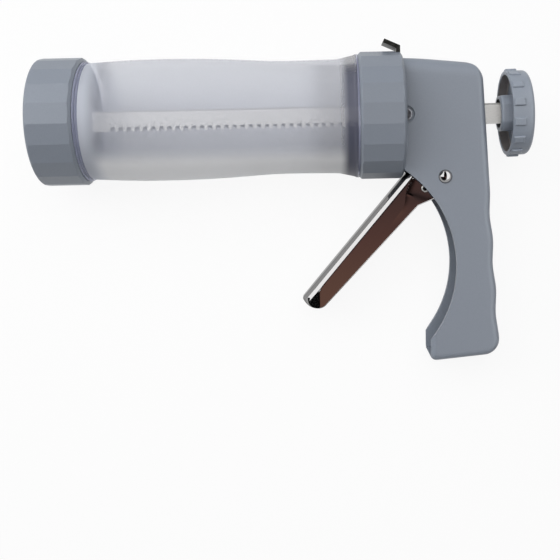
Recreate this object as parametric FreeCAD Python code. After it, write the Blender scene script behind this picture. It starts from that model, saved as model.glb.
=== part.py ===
import FreeCAD, Part

# Churro maker: a squeeze-trigger press with a frosted food barrel.
#
# Every piece is drawn upright in the tool frame and laid on its side at the end.
# Tool frame, millimetres: X runs along the barrel, the outlet at -X and the pull knob at +X.
# x = 0 is the rear face of the collar. Y points up, away from the handle. Z points to the side.

import math
import os

Vector = FreeCAD.Vector

# ---------------------------------------------------------------- driving dimensions
RUNNING_GAP = 0.05        # radial, pin in bore
SLIDE_GAP = 0.25          # beside the rod, in its slots
SEAT_GAP = 0.1            # between faces that seat on each other
THREAD_GAP = 0.3          # radial, between screwed or bayoneted plastic parts

RING_RADIUS = 31.6        # corner radius of the faceted collar and cap
RING_FACETS = 20
COLLAR_TURN = 9.0         # degrees from +Z to the first corner
CAP_TURN = -3.0

COLLAR_LENGTH = 21.9
COLLAR_WEB = 2.8
COLLAR_BORE_WALL = 3.2    # corner radius to the rear hollow
PLUG_DEPTH = 5.5          # how far the housing reaches into the collar
RING_CHAMFER = 1.4
COLLAR_REAR_ROUND = 1.9
RING_WALL = 3.15          # corner radius to the screwed bore

EXPOSED_BARREL = 134.9    # from the cap to the collar
BARREL_WALL = 2.55        # at the spigots
BULGE_INSET = 1.5         # the insets run from the rings' corner radius to the barrel
BULGE_FROM_CAP = 38.8
WAIST_INSET = 3.66
WAIST_FROM_COLLAR = 30.1
FRONT_NECK_INSET = 2.8
FRONT_LIP_INSET = 1.9
FRONT_LIP = 2.2
REAR_LIP_INSET = 1.0
REAR_LIP_EDGE = 0.3
REAR_LIP = 1.7
REAR_FLARE = 8.0          # length over which the barrel widens to its rear lip
REAR_FLARE_STEP = 0.4
BAYONET_LUGS = 3
BAYONET_ANGLE = 45.0      # turn that frees the barrel
LUG_ANGLE = 24.0
LUG_HEIGHT = 1.4
LUG_LENGTH = 2.6
LUG_FROM_END = 1.2

CAP_LENGTH = 22.2
CAP_FRONT_WALL = 2.2
CAP_FRONT_ROUND = 2.0
OUTLET_LEDGE = 1.6        # barrel bore to the outlet's edge
DISC_THICKNESS = 2.4
STAR_POINTS = 8
STAR_OUTER = 7.0
STAR_INNER = 4.4
STAR_BOSS_RADIUS = 11.0
STAR_BOSS_HEIGHT = 1.6

PISTON_TO_DISC = 4.9      # at rest
PISTON_LENGTH = 11.0
PISTON_GAP = 0.3          # radial, skirt in bore
PISTON_WALL = 2.2
PISTON_CROWN = 3.0
PISTON_DISH = 1.0
PISTON_RIM = 3.0
PISTON_RIM_CHAMFER = 0.6
PISTON_RIB_THICKNESS = 1.6
PISTON_RIB_SETBACK = 2.0
PISTON_BOSS_RADIUS = 7.5
PISTON_BOSS_OVERHANG = 4.0
PISTON_PIN_SETBACK = 4.0  # boss's rear face to the cross pin
SEAL_GAP = 0.1            # radial, seal in bore
SEAL_WIDTH = 2.6
SEAL_DEPTH = 1.2
CROSS_PIN_RADIUS = 1.5

ROD_HEIGHT = 10.3
ROD_THICKNESS = 3.0
ROD_BEVEL = 0.9
TOOTH_PITCH = 4.05
TOOTH_DEPTH = 1.7
TOOTH_COUNT = 44
ROD_PLAIN_NOSE = 20.9     # from the rod's front end to the first tooth

KNOB_GAP = 8.4            # between the housing and the knob's hub at rest
KNOB_RADIUS = 20.9
KNOB_DEPTH = 10.0
KNOB_WALL = 1.9
KNOB_FLOOR = 2.2
KNOB_BACK_ROUND = 3.2
KNOB_RIM_CHAMFER = 0.5
KNOB_HUB_RADIUS = 9.3
KNOB_HUB_PROUD = 3.8      # hub beyond the rim
KNOB_HUB_MOUTH = 1.1      # gap round the rod in the hub's mouth
KNOB_MOUTH_DEPTH = 3.0
KNOB_PIN_DEPTH = 2.6      # from the rim
ROD_END_GAP = 1.5         # from the knob's floor
HUB_FLUTE_WIDTH = 6.2
HUB_FLUTE_DEPTH = 0.8
GRIP_PADS = 14
GRIP_PAD_WIDTH = 3.6
GRIP_PAD_LENGTH = 5.4
GRIP_PAD_HEIGHT = 0.8
GRIP_PAD_SETBACK = 0.4    # from the rim
GRIP_PAD_CHAMFER = 0.3
GRIP_PAD_TURN = 12.2      # degrees from +Z to the first pad

BODY_WIDTH = 26.0
BODY_TOP = 27.4           # height of the housing's top at the collar
BODY_TOP_DROP = 3.8       # lower than that at the back
TOP_CROWN = 0.8
BODY_DEPTH = 39.8         # collar to the housing's back, on the barrel axis
BACK_LEAN = 0.0555        # the back moves out this much for each mm down
TOP_BACK_ROUND = 10.0
TOP_EDGE_ROUND = 8.0
SIDE_EDGE_ROUND = 3.4
WALL = 2.2
FINGER_PITCH = 24.5
FINGER_DEPTH = 0.9
FINGER_START = -38.0
FINGER_WAVES = 3
GRIP_FRONT_RADIUS = 58.0
GRIP_FRONT_X = -33.2
GRIP_FRONT_Y = -74.8
TOE_X = 11.5
TOE_BOTTOM = -122.5
TOE_RISE = 0.093
TOE_FRONT_ROUND = 3.0
TOE_BACK_ROUND = 8.0
PLUG_BOTTOM = -22.5
RIB_X = 9.6
RIB_THICKNESS = 1.5
RIB_BOTTOM = -7.5

CHEEK_REACH = 5.2
CHEEK_HEIGHT = 13.0
CHEEK_THICKNESS = 3.5
SCREW_X = 1.0
SCREW_RADIUS = 1.4
SCREW_HEAD_RADIUS = 3.1
SCREW_HEAD_HEIGHT = 1.7
SCREW_RECESS_RADIUS = 4.1
SCREW_RECESS_DEPTH = 1.2
SCREW_SLOT = 0.8

BUSH_FLANGE = 1.6
BUSH_MARGIN = 2.4         # wall of the bush round the rod

PIVOT_X = 19.6
PIVOT_RISE = 1.0          # above the rings' lowest corner
PIVOT_RADIUS = 2.25
PIVOT_HEAD_RADIUS = 3.4
PIVOT_HEAD_HEIGHT = 2.0
WASHER_RADIUS = 5.0

TRIGGER_SIDE_GAP = 1.4    # filled by the washers
TRIGGER_SHEET = 1.2
TRIGGER_ANGLE = 229.4     # direction of the trigger's front face, from +X
TRIGGER_OFFSET = 15.1     # from the pivot to the front face
TRIGGER_LENGTH = 91.6     # along the front face
TRIGGER_BACK_ANGLE = 226.4
TRIGGER_BACK_REACH = 86.2
TRIGGER_TIP_BULGE = 3.1
TRIGGER_TIP_TURN = 12.0   # the nose points this much back from the front face's direction
TRIGGER_TIP_ROUND = 3.2
TRIGGER_EDGE_ROUND = 3.6
TRIGGER_TAB_BEFORE = 12.9 # pivot to the lower corner of the wide upper part
TRIGGER_TAB_BELOW = 14.2
TRIGGER_HUB_RADIUS = 8.6
PAWL_PIN_DROP = 12.6      # barrel axis to the pawl pin when the arm stands upright
ARM_ANGLE = 72.0
ARM_END_RADIUS = 4.4
EYELET_BEFORE = 9.9       # pivot to eyelet
EYELET_BELOW = 6.1
EYELET_RADIUS = 1.5
EYELET_BORE = 1.1
EYELET_FLARE_RADIUS = 1.95
EYELET_FLARE = 0.5

PAWL_WIDTH = 6.0
PAWL_HUB_RADIUS = 3.4
PAWL_TIP_CLEARANCE = 0.35
PAWL_TIP_WIDTH = 2.2
PAWL_PIN_RADIUS = 1.5
PAWL_PIN_HEAD = 0.6
PAWL_PIN_HEAD_RADIUS = 2.4

BRAKE_X = -2.0            # middle of the brake plate's sheet
BRAKE_SHEET = 2.0
BRAKE_SIDE_GAP = 0.7      # between the plate and the collar's cheeks
BRAKE_BOTTOM = -10.0
BRAKE_BEND_ABOVE = 2.3    # the collar's corner radius to the top of the upright part
BRAKE_TAB_LENGTH = 8.4
BRAKE_TAB_RISE = 24.0     # degrees above the barrel's direction
BRAKE_SLOT_GAP = 0.6
BRAKE_HOLE_GAP = 0.65

SPRING_WIRE = 0.9
BRAKE_SPRING_GAP = 0.25   # between the wire and the collar's cheeks
BRAKE_SPRING_TURNS = 3
BRAKE_SPRING_FRONT = 2.9
TRIGGER_SPRING_RADIUS = 4.2
TRIGGER_SPRING_TURNS = 5
TRIGGER_SPRING_PITCH = 1.3
TRIGGER_LEG_ANGLE = 222.0
TRIGGER_LEG_REACH = 13.0
HOUSING_LEG_ANGLE = 5.0
HOUSING_LEG_GAP = 1.6     # the leg's end to the housing's back on the barrel axis
PAWL_SPRING_RADIUS = 2.5
PAWL_SPRING_TURNS = 3
PAWL_SPRING_WIRE = 0.6
PAWL_SPRING_PITCH = 0.9
PAWL_LEG_REACH = 5.6

CAP_THREAD_LEAD = 6.0     # the cap's advance in one turn
CAP_THREAD_TURNS = 2.0
TRIGGER_SWING = 38.0
BRAKE_SWING = 5.0

# ---------------------------------------------------------------- places worked out from them
HALF_BODY = BODY_WIDTH / 2
INNER_HALF = HALF_BODY - WALL
COLLAR_FRONT = -COLLAR_LENGTH
WEB_REAR = -PLUG_DEPTH
WEB_FRONT = WEB_REAR - COLLAR_WEB
COLLAR_HOLLOW = RING_RADIUS - COLLAR_BORE_WALL
CAP_REAR = COLLAR_FRONT - EXPOSED_BARREL
CAP_FRONT = CAP_REAR - CAP_LENGTH
DISC_FRONT = CAP_FRONT + CAP_FRONT_WALL
DISC_REAR = DISC_FRONT + DISC_THICKNESS
BARREL_END = WEB_FRONT - SEAT_GAP
SCREW_BORE = RING_RADIUS - RING_WALL
BARREL_SPIGOT = SCREW_BORE - THREAD_GAP
BARREL_BORE = BARREL_SPIGOT - BARREL_WALL
BULGE_RADIUS = RING_RADIUS - BULGE_INSET
WAIST_RADIUS = RING_RADIUS - WAIST_INSET
FRONT_NECK_RADIUS = RING_RADIUS - FRONT_NECK_INSET
FRONT_LIP_RADIUS = RING_RADIUS - FRONT_LIP_INSET
REAR_LIP_RADIUS = RING_RADIUS - REAR_LIP_INSET
OUTLET_RADIUS = BARREL_BORE - OUTLET_LEDGE
PISTON_RADIUS = BARREL_BORE - PISTON_GAP
SEAL_RADIUS = BARREL_BORE - SEAL_GAP
PISTON_FRONT = DISC_REAR + PISTON_TO_DISC
PISTON_REAR = PISTON_FRONT + PISTON_LENGTH
BOSS_REAR = PISTON_REAR + PISTON_BOSS_OVERHANG
ROD_FRONT = PISTON_FRONT + PISTON_CROWN
HALF_ROD = ROD_HEIGHT / 2
HALF_ROD_Z = ROD_THICKNESS / 2
FIRST_TOOTH = ROD_FRONT + ROD_PLAIN_NOSE
HUB_FACE = BODY_DEPTH + KNOB_GAP
KNOB_RIM = HUB_FACE + KNOB_HUB_PROUD
KNOB_BACK = KNOB_RIM + KNOB_DEPTH
ROD_REAR = KNOB_BACK - KNOB_FLOOR - ROD_END_GAP
CHEEK_OUTER = INNER_HALF - SEAT_GAP
CHEEK_INNER = CHEEK_OUTER - CHEEK_THICKNESS
BRAKE_WIDTH = 2 * (CHEEK_INNER - BRAKE_SIDE_GAP)
BRAKE_BEND_Y = RING_RADIUS + BRAKE_BEND_ABOVE
BRAKE_SPRING_RADIUS = round(CHEEK_INNER - BRAKE_SPRING_GAP - SPRING_WIRE / 2, 3)
HALF_TRIGGER = INNER_HALF - TRIGGER_SIDE_GAP
TRIGGER_WIDTH = 2 * HALF_TRIGGER
PIVOT_Y = PIVOT_RISE - RING_RADIUS
HOUSING_LEG_REACH = BODY_DEPTH - HOUSING_LEG_GAP - PIVOT_X
TRIGGER_TAB_X = PIVOT_X - TRIGGER_TAB_BEFORE
TRIGGER_TAB_Y = PIVOT_Y - TRIGGER_TAB_BELOW
EYELET_X = PIVOT_X - EYELET_BEFORE
EYELET_Y = PIVOT_Y - EYELET_BELOW
ARM_LENGTH = -PAWL_PIN_DROP - PIVOT_Y
PAWL_PIN_X = PIVOT_X + ARM_LENGTH * math.cos(math.radians(ARM_ANGLE))
PAWL_PIN_Y = PIVOT_Y + ARM_LENGTH * math.sin(math.radians(ARM_ANGLE))
PAWL_RISE = -HALF_ROD - PAWL_TIP_CLEARANCE - (PIVOT_Y + ARM_LENGTH)

ROD_FORWARD_TRAVEL = PISTON_TO_DISC - 0.4
ROD_BACK_TRAVEL = WEB_FRONT - BOSS_REAR - 0.5


# ---------------------------------------------------------------- shape helpers
def box(x0, x1, y0, y1, z0, z1):
    """Block between two corners."""
    return Part.makeBox(x1 - x0, y1 - y0, z1 - z0, Vector(x0, y0, z0))


def rod_x(x0, x1, radius):
    """Round bar along X on the barrel axis."""
    return Part.makeCylinder(radius, x1 - x0, Vector(x0, 0, 0), Vector(1, 0, 0))


def rod_z(x, y, z0, z1, radius):
    """Round bar along Z."""
    return Part.makeCylinder(radius, z1 - z0, Vector(x, y, z0), Vector(0, 0, 1))


def polar(x, y, radius, degrees):
    """Point at a distance and direction from (x, y)."""
    angle = math.radians(degrees)
    return (x + radius * math.cos(angle), y + radius * math.sin(angle))


def slab(points, half):
    """Closed polygon in XY, made a slab from z = -half to +half."""
    corners = [Vector(x, y, -half) for x, y in points]
    wire = Part.makePolygon(corners + corners[:1])
    return Part.Face(wire).extrude(Vector(0, 0, 2 * half))


def revolve(points):
    """Closed (x, radius) outline turned about the barrel axis; a pair of points is an arc."""
    edges = []
    here = Vector(points[0][0], points[0][1], 0)
    for step in points[1:] + points[:1]:
        if isinstance(step[0], tuple):
            middle = Vector(step[0][0], step[0][1], 0)
            end = Vector(step[1][0], step[1][1], 0)
            edges.append(Part.Arc(here, middle, end).toShape())
        else:
            end = Vector(step[0], step[1], 0)
            edges.append(Part.LineSegment(here, end).toShape())
        here = end
    return Part.Face(Part.Wire(edges)).revolve(Vector(0, 0, 0), Vector(1, 0, 0), 360)


def facet_prism(x0, x1, turn):
    """Regular prism along X with a corner at the given angle from +Z."""
    corners = []
    for k in range(RING_FACETS + 1):
        angle = math.radians(turn + 360.0 * k / RING_FACETS)
        corners.append(Vector(x0, RING_RADIUS * math.sin(angle), RING_RADIUS * math.cos(angle)))
    return Part.Face(Part.makePolygon(corners)).extrude(Vector(x1 - x0, 0, 0))


def sector(x0, x1, radius, middle, width):
    """Pie slice about the barrel axis, its middle at an angle from +Z."""
    slice_ = Part.makeCylinder(radius, x1 - x0, Vector(x0, 0, 0), Vector(1, 0, 0), width)
    start = slice_.CenterOfMass
    angle_now = math.degrees(math.atan2(start.y, start.z))
    slice_.rotate(Vector(0, 0, 0), Vector(1, 0, 0), angle_now - middle)
    return slice_


def edges_where(shape, test):
    """Edges whose two ends and middle all pass a test of (x, y, z)."""
    found = []
    for edge in shape.Edges:
        first, last = edge.ParameterRange
        spots = [edge.valueAt(first + (last - first) * t) for t in (0.0, 0.5, 1.0)]
        if all(test(p.x, p.y, p.z) for p in spots):
            found.append(edge)
    return found


# ---------------------------------------------------------------- barrel, cap and disc
def barrel_outline():
    """Outer curve of the exposed barrel, between its two lips."""
    front = CAP_REAR + FRONT_LIP
    rear = COLLAR_FRONT - REAR_LIP
    bulge = CAP_REAR + BULGE_FROM_CAP
    waist = COLLAR_FRONT - WAIST_FROM_COLLAR
    flare = rear - REAR_FLARE
    quarter = (front + bulge) / 2
    spots = [
        (front, FRONT_NECK_RADIUS),
        (quarter, BULGE_RADIUS - 0.25 * (BULGE_RADIUS - FRONT_NECK_RADIUS)),
        (bulge, BULGE_RADIUS),
    ]
    for along, share in ((0.33, 0.83), (0.56, 0.5), (0.79, 0.09)):
        spots.append((bulge + along * (waist - bulge), WAIST_RADIUS + share * (BULGE_RADIUS - WAIST_RADIUS)))
    spots += [
        (waist, WAIST_RADIUS),
        ((waist + flare) / 2, WAIST_RADIUS + 0.3 * REAR_FLARE_STEP),
        (flare, WAIST_RADIUS + REAR_FLARE_STEP),
        (rear - 0.45 * REAR_FLARE, WAIST_RADIUS + 0.44 * (REAR_LIP_RADIUS - REAR_LIP_EDGE - WAIST_RADIUS)),
        (rear, REAR_LIP_RADIUS - REAR_LIP_EDGE),
    ]
    curve = Part.BSplineCurve()
    curve.interpolate([Vector(x, radius, 0) for x, radius in spots])
    return curve.toShape()


def make_barrel():
    front_end = DISC_REAR + SEAT_GAP
    lip_rear = CAP_REAR + FRONT_LIP
    rear_lip_front = COLLAR_FRONT - REAR_LIP
    curve = barrel_outline()
    before = [
        (front_end, BARREL_BORE), (front_end, BARREL_SPIGOT), (CAP_REAR + SEAT_GAP, BARREL_SPIGOT),
        (CAP_REAR + SEAT_GAP, FRONT_LIP_RADIUS), (lip_rear, FRONT_NECK_RADIUS),
    ]
    after = [
        (rear_lip_front, REAR_LIP_RADIUS - REAR_LIP_EDGE), (rear_lip_front + 0.5, REAR_LIP_RADIUS),
        (COLLAR_FRONT - SEAT_GAP, REAR_LIP_RADIUS), (COLLAR_FRONT - SEAT_GAP, BARREL_SPIGOT),
        (BARREL_END, BARREL_SPIGOT), (BARREL_END, BARREL_BORE), before[0],
    ]
    edges = []
    for chain in (before, after):
        for a, b in zip(chain, chain[1:]):
            edges.append(Part.LineSegment(Vector(a[0], a[1], 0), Vector(b[0], b[1], 0)).toShape())
    edges.insert(len(before) - 1, curve)
    tube = Part.Face(Part.Wire(edges)).revolve(Vector(0, 0, 0), Vector(1, 0, 0), 360)
    lug_rear = BARREL_END - LUG_FROM_END
    lug_ring = rod_x(lug_rear - LUG_LENGTH, lug_rear, BARREL_SPIGOT + LUG_HEIGHT)
    lug_ring = lug_ring.cut(rod_x(lug_rear - LUG_LENGTH, lug_rear, BARREL_BORE))
    for k in range(BAYONET_LUGS):
        middle = 360.0 * k / BAYONET_LUGS
        lug = lug_ring.common(sector(lug_rear - LUG_LENGTH, lug_rear, RING_RADIUS, middle, LUG_ANGLE))
        tube = tube.fuse(lug)
    return tube.removeSplitter()


def make_front_cap():
    rear = CAP_REAR
    rounding = CAP_FRONT_ROUND
    inside = rounding * (1 - math.sqrt(0.5))
    outline = revolve([
        (CAP_FRONT, 0), (CAP_FRONT, RING_RADIUS - rounding),
        ((CAP_FRONT + inside, RING_RADIUS - inside), (CAP_FRONT + rounding, RING_RADIUS)),
        (rear - RING_CHAMFER, RING_RADIUS),
        (rear, RING_RADIUS - 1.2 * RING_CHAMFER), (rear, 0),
    ])
    cap = facet_prism(CAP_FRONT, rear, CAP_TURN).common(outline)
    cap = cap.cut(rod_x(DISC_FRONT, rear + 1, SCREW_BORE))
    return cap.cut(rod_x(CAP_FRONT - 1, DISC_REAR, OUTLET_RADIUS))


def star_prism(x0, x1):
    """Star-shaped cutter along X."""
    corners = []
    for k in range(2 * STAR_POINTS + 1):
        radius = STAR_OUTER if k % 2 == 0 else STAR_INNER
        angle = math.pi * k / STAR_POINTS
        corners.append(Vector(x0, radius * math.sin(angle), radius * math.cos(angle)))
    return Part.Face(Part.makePolygon(corners)).extrude(Vector(x1 - x0, 0, 0))


def make_forming_disc():
    boss_front = DISC_FRONT - STAR_BOSS_HEIGHT
    disc = rod_x(DISC_FRONT + SEAT_GAP, DISC_REAR, BARREL_SPIGOT)
    disc = disc.fuse(rod_x(boss_front, DISC_REAR, STAR_BOSS_RADIUS))
    return disc.cut(star_prism(boss_front - 1, DISC_REAR + 1)).removeSplitter()


# ---------------------------------------------------------------- plunger
def make_rack_rod():
    gullets = []
    for k in range(TOOTH_COUNT):
        x = FIRST_TOOTH + k * TOOTH_PITCH
        gullets += [(x, -HALF_ROD), (x, -HALF_ROD + TOOTH_DEPTH), (x + 0.72 * TOOTH_PITCH, -HALF_ROD)]
    top = [
        (ROD_REAR, -HALF_ROD), (ROD_REAR, HALF_ROD), (ROD_FRONT, HALF_ROD), (ROD_FRONT, -HALF_ROD),
    ]
    rod = slab(gullets + top, HALF_ROD_Z)
    for side in (1, -1):
        cutter = Part.makePolygon([
            Vector(ROD_FRONT - 1, HALF_ROD + 0.01, side * (HALF_ROD_Z - ROD_BEVEL)),
            Vector(ROD_FRONT - 1, HALF_ROD + 0.01, side * (HALF_ROD_Z + 0.01)),
            Vector(ROD_FRONT - 1, HALF_ROD - ROD_BEVEL, side * (HALF_ROD_Z + 0.01)),
            Vector(ROD_FRONT - 1, HALF_ROD + 0.01, side * (HALF_ROD_Z - ROD_BEVEL)),
        ])
        rod = rod.cut(Part.Face(cutter).extrude(Vector(ROD_REAR - ROD_FRONT + 2, 0, 0)))
    for x in (piston_pin_x(), knob_pin_x()):
        rod = rod.cut(rod_z(x, 0, -HALF_ROD_Z - 1, HALF_ROD_Z + 1, CROSS_PIN_RADIUS + RUNNING_GAP))
    return rod


def rod_slot(x0, x1, gap):
    """Cutter for a slot that the rod passes through or sits in."""
    return box(x0, x1, -HALF_ROD - gap, HALF_ROD + gap, -HALF_ROD_Z - gap, HALF_ROD_Z + gap)


def piston_pin_x():
    return BOSS_REAR - PISTON_PIN_SETBACK


def knob_pin_x():
    return KNOB_RIM + KNOB_PIN_DEPTH


def make_piston_head():
    dished = PISTON_FRONT + PISTON_DISH
    chamfer = PISTON_RIM_CHAMFER
    cup = revolve([
        (PISTON_FRONT, 0), (dished, PISTON_RADIUS - PISTON_RIM),
        (dished, PISTON_RADIUS - chamfer), (dished + chamfer, PISTON_RADIUS),
        (PISTON_REAR, PISTON_RADIUS), (PISTON_REAR, PISTON_RADIUS - PISTON_WALL),
        (dished + PISTON_CROWN, PISTON_RADIUS - PISTON_WALL),
        (PISTON_FRONT + PISTON_CROWN, 0),
    ])
    boss = rod_x(PISTON_FRONT + PISTON_CROWN - 0.5, BOSS_REAR, PISTON_BOSS_RADIUS)
    head = cup.fuse(boss)
    half_rib = PISTON_RIB_THICKNESS / 2
    for k in range(4):
        rib = box(PISTON_FRONT + PISTON_CROWN, PISTON_REAR - PISTON_RIB_SETBACK, PISTON_BOSS_RADIUS - 1,
                  PISTON_RADIUS - 1, -half_rib, half_rib)
        rib.rotate(Vector(0, 0, 0), Vector(1, 0, 0), 45 + 90 * k)
        head = head.fuse(rib)
    groove = seal_ring(SEAL_WIDTH + 2 * SEAT_GAP, RING_RADIUS, SEAT_GAP)
    head = head.cut(groove)
    head = head.cut(rod_slot(ROD_FRONT, BOSS_REAR + 1, SEAT_GAP))
    pin_hole = rod_z(piston_pin_x(), 0, -PISTON_BOSS_RADIUS - 1, PISTON_BOSS_RADIUS + 1,
                     CROSS_PIN_RADIUS + RUNNING_GAP)
    return head.cut(pin_hole).removeSplitter()


def seal_ring(width, outer, inner_gap):
    """Ring on the piston's skirt; the groove is the same ring with its clearances."""
    middle = PISTON_FRONT + 0.55 * PISTON_LENGTH
    inner = PISTON_RADIUS - SEAL_DEPTH - inner_gap
    return rod_x(middle - width / 2, middle + width / 2, outer).cut(
        rod_x(middle - width / 2, middle + width / 2, inner))


def make_piston_seal():
    return seal_ring(SEAL_WIDTH, SEAL_RADIUS, 0)


def make_piston_pin():
    half = PISTON_BOSS_RADIUS - 0.4
    return rod_z(piston_pin_x(), 0, -half, half, CROSS_PIN_RADIUS)


def knob_cup():
    """Open cup of the knob with a rounded back edge."""
    inside = KNOB_BACK_ROUND * (1 - math.sqrt(0.5))
    shell = revolve([
        (KNOB_RIM, 0), (KNOB_RIM, KNOB_RADIUS - KNOB_RIM_CHAMFER),
        (KNOB_RIM + KNOB_RIM_CHAMFER, KNOB_RADIUS),
        (KNOB_BACK - KNOB_BACK_ROUND, KNOB_RADIUS),
        ((KNOB_BACK - inside, KNOB_RADIUS - inside), (KNOB_BACK, KNOB_RADIUS - KNOB_BACK_ROUND)),
        (KNOB_BACK, 0),
    ])
    hollow = rod_x(KNOB_RIM - 1, KNOB_BACK - KNOB_FLOOR, KNOB_RADIUS - KNOB_WALL)
    return shell.cut(hollow)


def make_knob():
    knob = knob_cup()
    hub = rod_x(HUB_FACE, KNOB_BACK - KNOB_FLOOR / 2, KNOB_HUB_RADIUS)
    flute_floor = KNOB_HUB_RADIUS - HUB_FLUTE_DEPTH
    for k in range(4):
        flute = box(HUB_FACE - 1, KNOB_BACK - KNOB_FLOOR, flute_floor, KNOB_HUB_RADIUS + 1,
                    -HUB_FLUTE_WIDTH / 2, HUB_FLUTE_WIDTH / 2)
        flute.rotate(Vector(0, 0, 0), Vector(1, 0, 0), 90 * k)
        hub = hub.cut(flute)
    knob = knob.fuse(hub)
    knob = knob.cut(rod_slot(HUB_FACE - 1, ROD_REAR + SEAT_GAP, SEAT_GAP))
    knob = knob.cut(rod_slot(HUB_FACE - 1, HUB_FACE + KNOB_MOUTH_DEPTH, KNOB_HUB_MOUTH))
    knob = knob.cut(rod_z(knob_pin_x(), 0, -KNOB_HUB_RADIUS, KNOB_HUB_RADIUS, CROSS_PIN_RADIUS + RUNNING_GAP))
    pad_top = KNOB_RADIUS + GRIP_PAD_HEIGHT
    pad_front = KNOB_RIM + GRIP_PAD_SETBACK
    for k in range(GRIP_PADS):
        pad = box(pad_front, pad_front + GRIP_PAD_LENGTH, -GRIP_PAD_WIDTH / 2,
                  GRIP_PAD_WIDTH / 2, KNOB_RADIUS - KNOB_WALL / 2, pad_top)
        pad = pad.makeChamfer(GRIP_PAD_CHAMFER, edges_where(pad, lambda x, y, z: z > pad_top - 0.01))
        pad.rotate(Vector(0, 0, 0), Vector(1, 0, 0), -GRIP_PAD_TURN - 360.0 * k / GRIP_PADS)
        knob = knob.fuse(pad)
    return knob.removeSplitter()


def make_knob_pin():
    half = KNOB_HUB_RADIUS - HUB_FLUTE_DEPTH - 0.1
    return rod_z(knob_pin_x(), 0, -half, half, CROSS_PIN_RADIUS)


# ---------------------------------------------------------------- collar
def make_collar():
    rounding = COLLAR_REAR_ROUND
    outline = revolve([
        (COLLAR_FRONT, 0), (COLLAR_FRONT, RING_RADIUS - RING_CHAMFER),
        (COLLAR_FRONT + RING_CHAMFER, RING_RADIUS), (-rounding, RING_RADIUS),
        ((-0.34 * rounding, RING_RADIUS - 0.58 * rounding), (0, RING_RADIUS - 1.35 * rounding)),
        (0, 0),
    ])
    collar = facet_prism(COLLAR_FRONT, 0, COLLAR_TURN).common(outline)
    collar = collar.cut(rod_x(COLLAR_FRONT - 1, WEB_FRONT, SCREW_BORE))
    collar = collar.cut(rod_x(WEB_REAR, 1, COLLAR_HOLLOW))
    collar = collar.cut(rod_slot(WEB_FRONT - 1, WEB_REAR + 1, SLIDE_GAP))
    collar = collar.cut(bayonet_track())
    slot_front = BRAKE_X - BRAKE_SHEET / 2 - BRAKE_SLOT_GAP
    half_slot = BRAKE_WIDTH / 2 + BRAKE_SLOT_GAP
    collar = collar.cut(box(slot_front, 1, 0, RING_RADIUS + 1, -half_slot, half_slot))
    for side in (1, -1):
        outer = side * CHEEK_OUTER
        inner = side * CHEEK_INNER
        cheek = box(WEB_REAR - 0.5, CHEEK_REACH, -CHEEK_HEIGHT / 2, CHEEK_HEIGHT / 2,
                    min(inner, outer), max(inner, outer))
        collar = collar.fuse(cheek)
    pilot = rod_z(SCREW_X, 0, -HALF_BODY, HALF_BODY, SCREW_RADIUS + RUNNING_GAP)
    return collar.cut(pilot).removeSplitter()


def bayonet_track():
    """Ring groove for the barrel's lugs, with a straight way in for each lug."""
    lug_rear = BARREL_END - LUG_FROM_END
    radius = BARREL_SPIGOT + LUG_HEIGHT + THREAD_GAP
    track = rod_x(lug_rear - LUG_LENGTH - THREAD_GAP, lug_rear + THREAD_GAP, radius)
    for k in range(BAYONET_LUGS):
        middle = 360.0 * k / BAYONET_LUGS + BAYONET_ANGLE
        track = track.fuse(sector(COLLAR_FRONT - 1, lug_rear, radius, middle, LUG_ANGLE + 4.0))
    return track


# ---------------------------------------------------------------- housing
def back_x(y):
    """The housing's back: a leaning line with shallow finger waves below FINGER_START."""
    line = BODY_DEPTH - BACK_LEAN * y
    lowest = FINGER_START - FINGER_WAVES * FINGER_PITCH
    if y > FINGER_START or y < lowest:
        return line
    phase = 2 * math.pi * (FINGER_START - y) / FINGER_PITCH
    return line - FINGER_DEPTH * (1 - math.cos(phase)) / 2


def back_edges(inset, y_top, y_bottom):
    """Back of the side outline, from the top down."""
    steps = 4 * FINGER_WAVES
    ys = [FINGER_START - FINGER_PITCH * FINGER_WAVES * k / steps for k in range(steps + 1)]
    spots = [(back_x(y) - inset, y) for y in ys]
    curve = Part.BSplineCurve()
    curve.interpolate([Vector(x, y, 0) for x, y in spots])
    return [
        line_edge((back_x(y_top) - inset, y_top), spots[0]),
        curve.toShape(),
        line_edge(spots[-1], (back_x(y_bottom) - inset, y_bottom)),
    ]


def line_edge(a, b):
    return Part.LineSegment(Vector(a[0], a[1], 0), Vector(b[0], b[1], 0)).toShape()


def top_corner(inset):
    """Sharp corner where the top meets the back."""
    y = BODY_TOP - BODY_TOP_DROP - inset
    return back_x(y) - inset, y


def top_edge(x0, inset):
    """Slightly crowned top of the side outline, from x0 to the back corner, and its height at x0."""
    corner_x = top_corner(inset)[0]

    def height(x):
        part = x / corner_x
        return BODY_TOP - inset - BODY_TOP_DROP * part + 4 * TOP_CROWN * part * (1 - part)
    spots = [Vector(x, height(x), 0) for x in (x0, (x0 + corner_x) / 2, corner_x)]
    return Part.Arc(*spots).toShape(), height(x0)


def toe_y(x, inset):
    """Height of the handle's underside."""
    return TOE_BOTTOM + inset + TOE_RISE * (x - TOE_X)


def round_corner(solid, x, y, radius):
    """Round the upright edge nearest to (x, y)."""
    uprights = []
    for edge in solid.Edges:
        ends = [v.Point for v in edge.Vertexes]
        if len(ends) == 2 and math.hypot(ends[0].x - ends[1].x, ends[0].y - ends[1].y) < 1e-6:
            uprights.append((math.hypot(ends[0].x - x, ends[0].y - y), edge))
    nearest = min(uprights, key=lambda pair: pair[0])[1]
    return solid.makeFillet(radius, [nearest])


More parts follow.
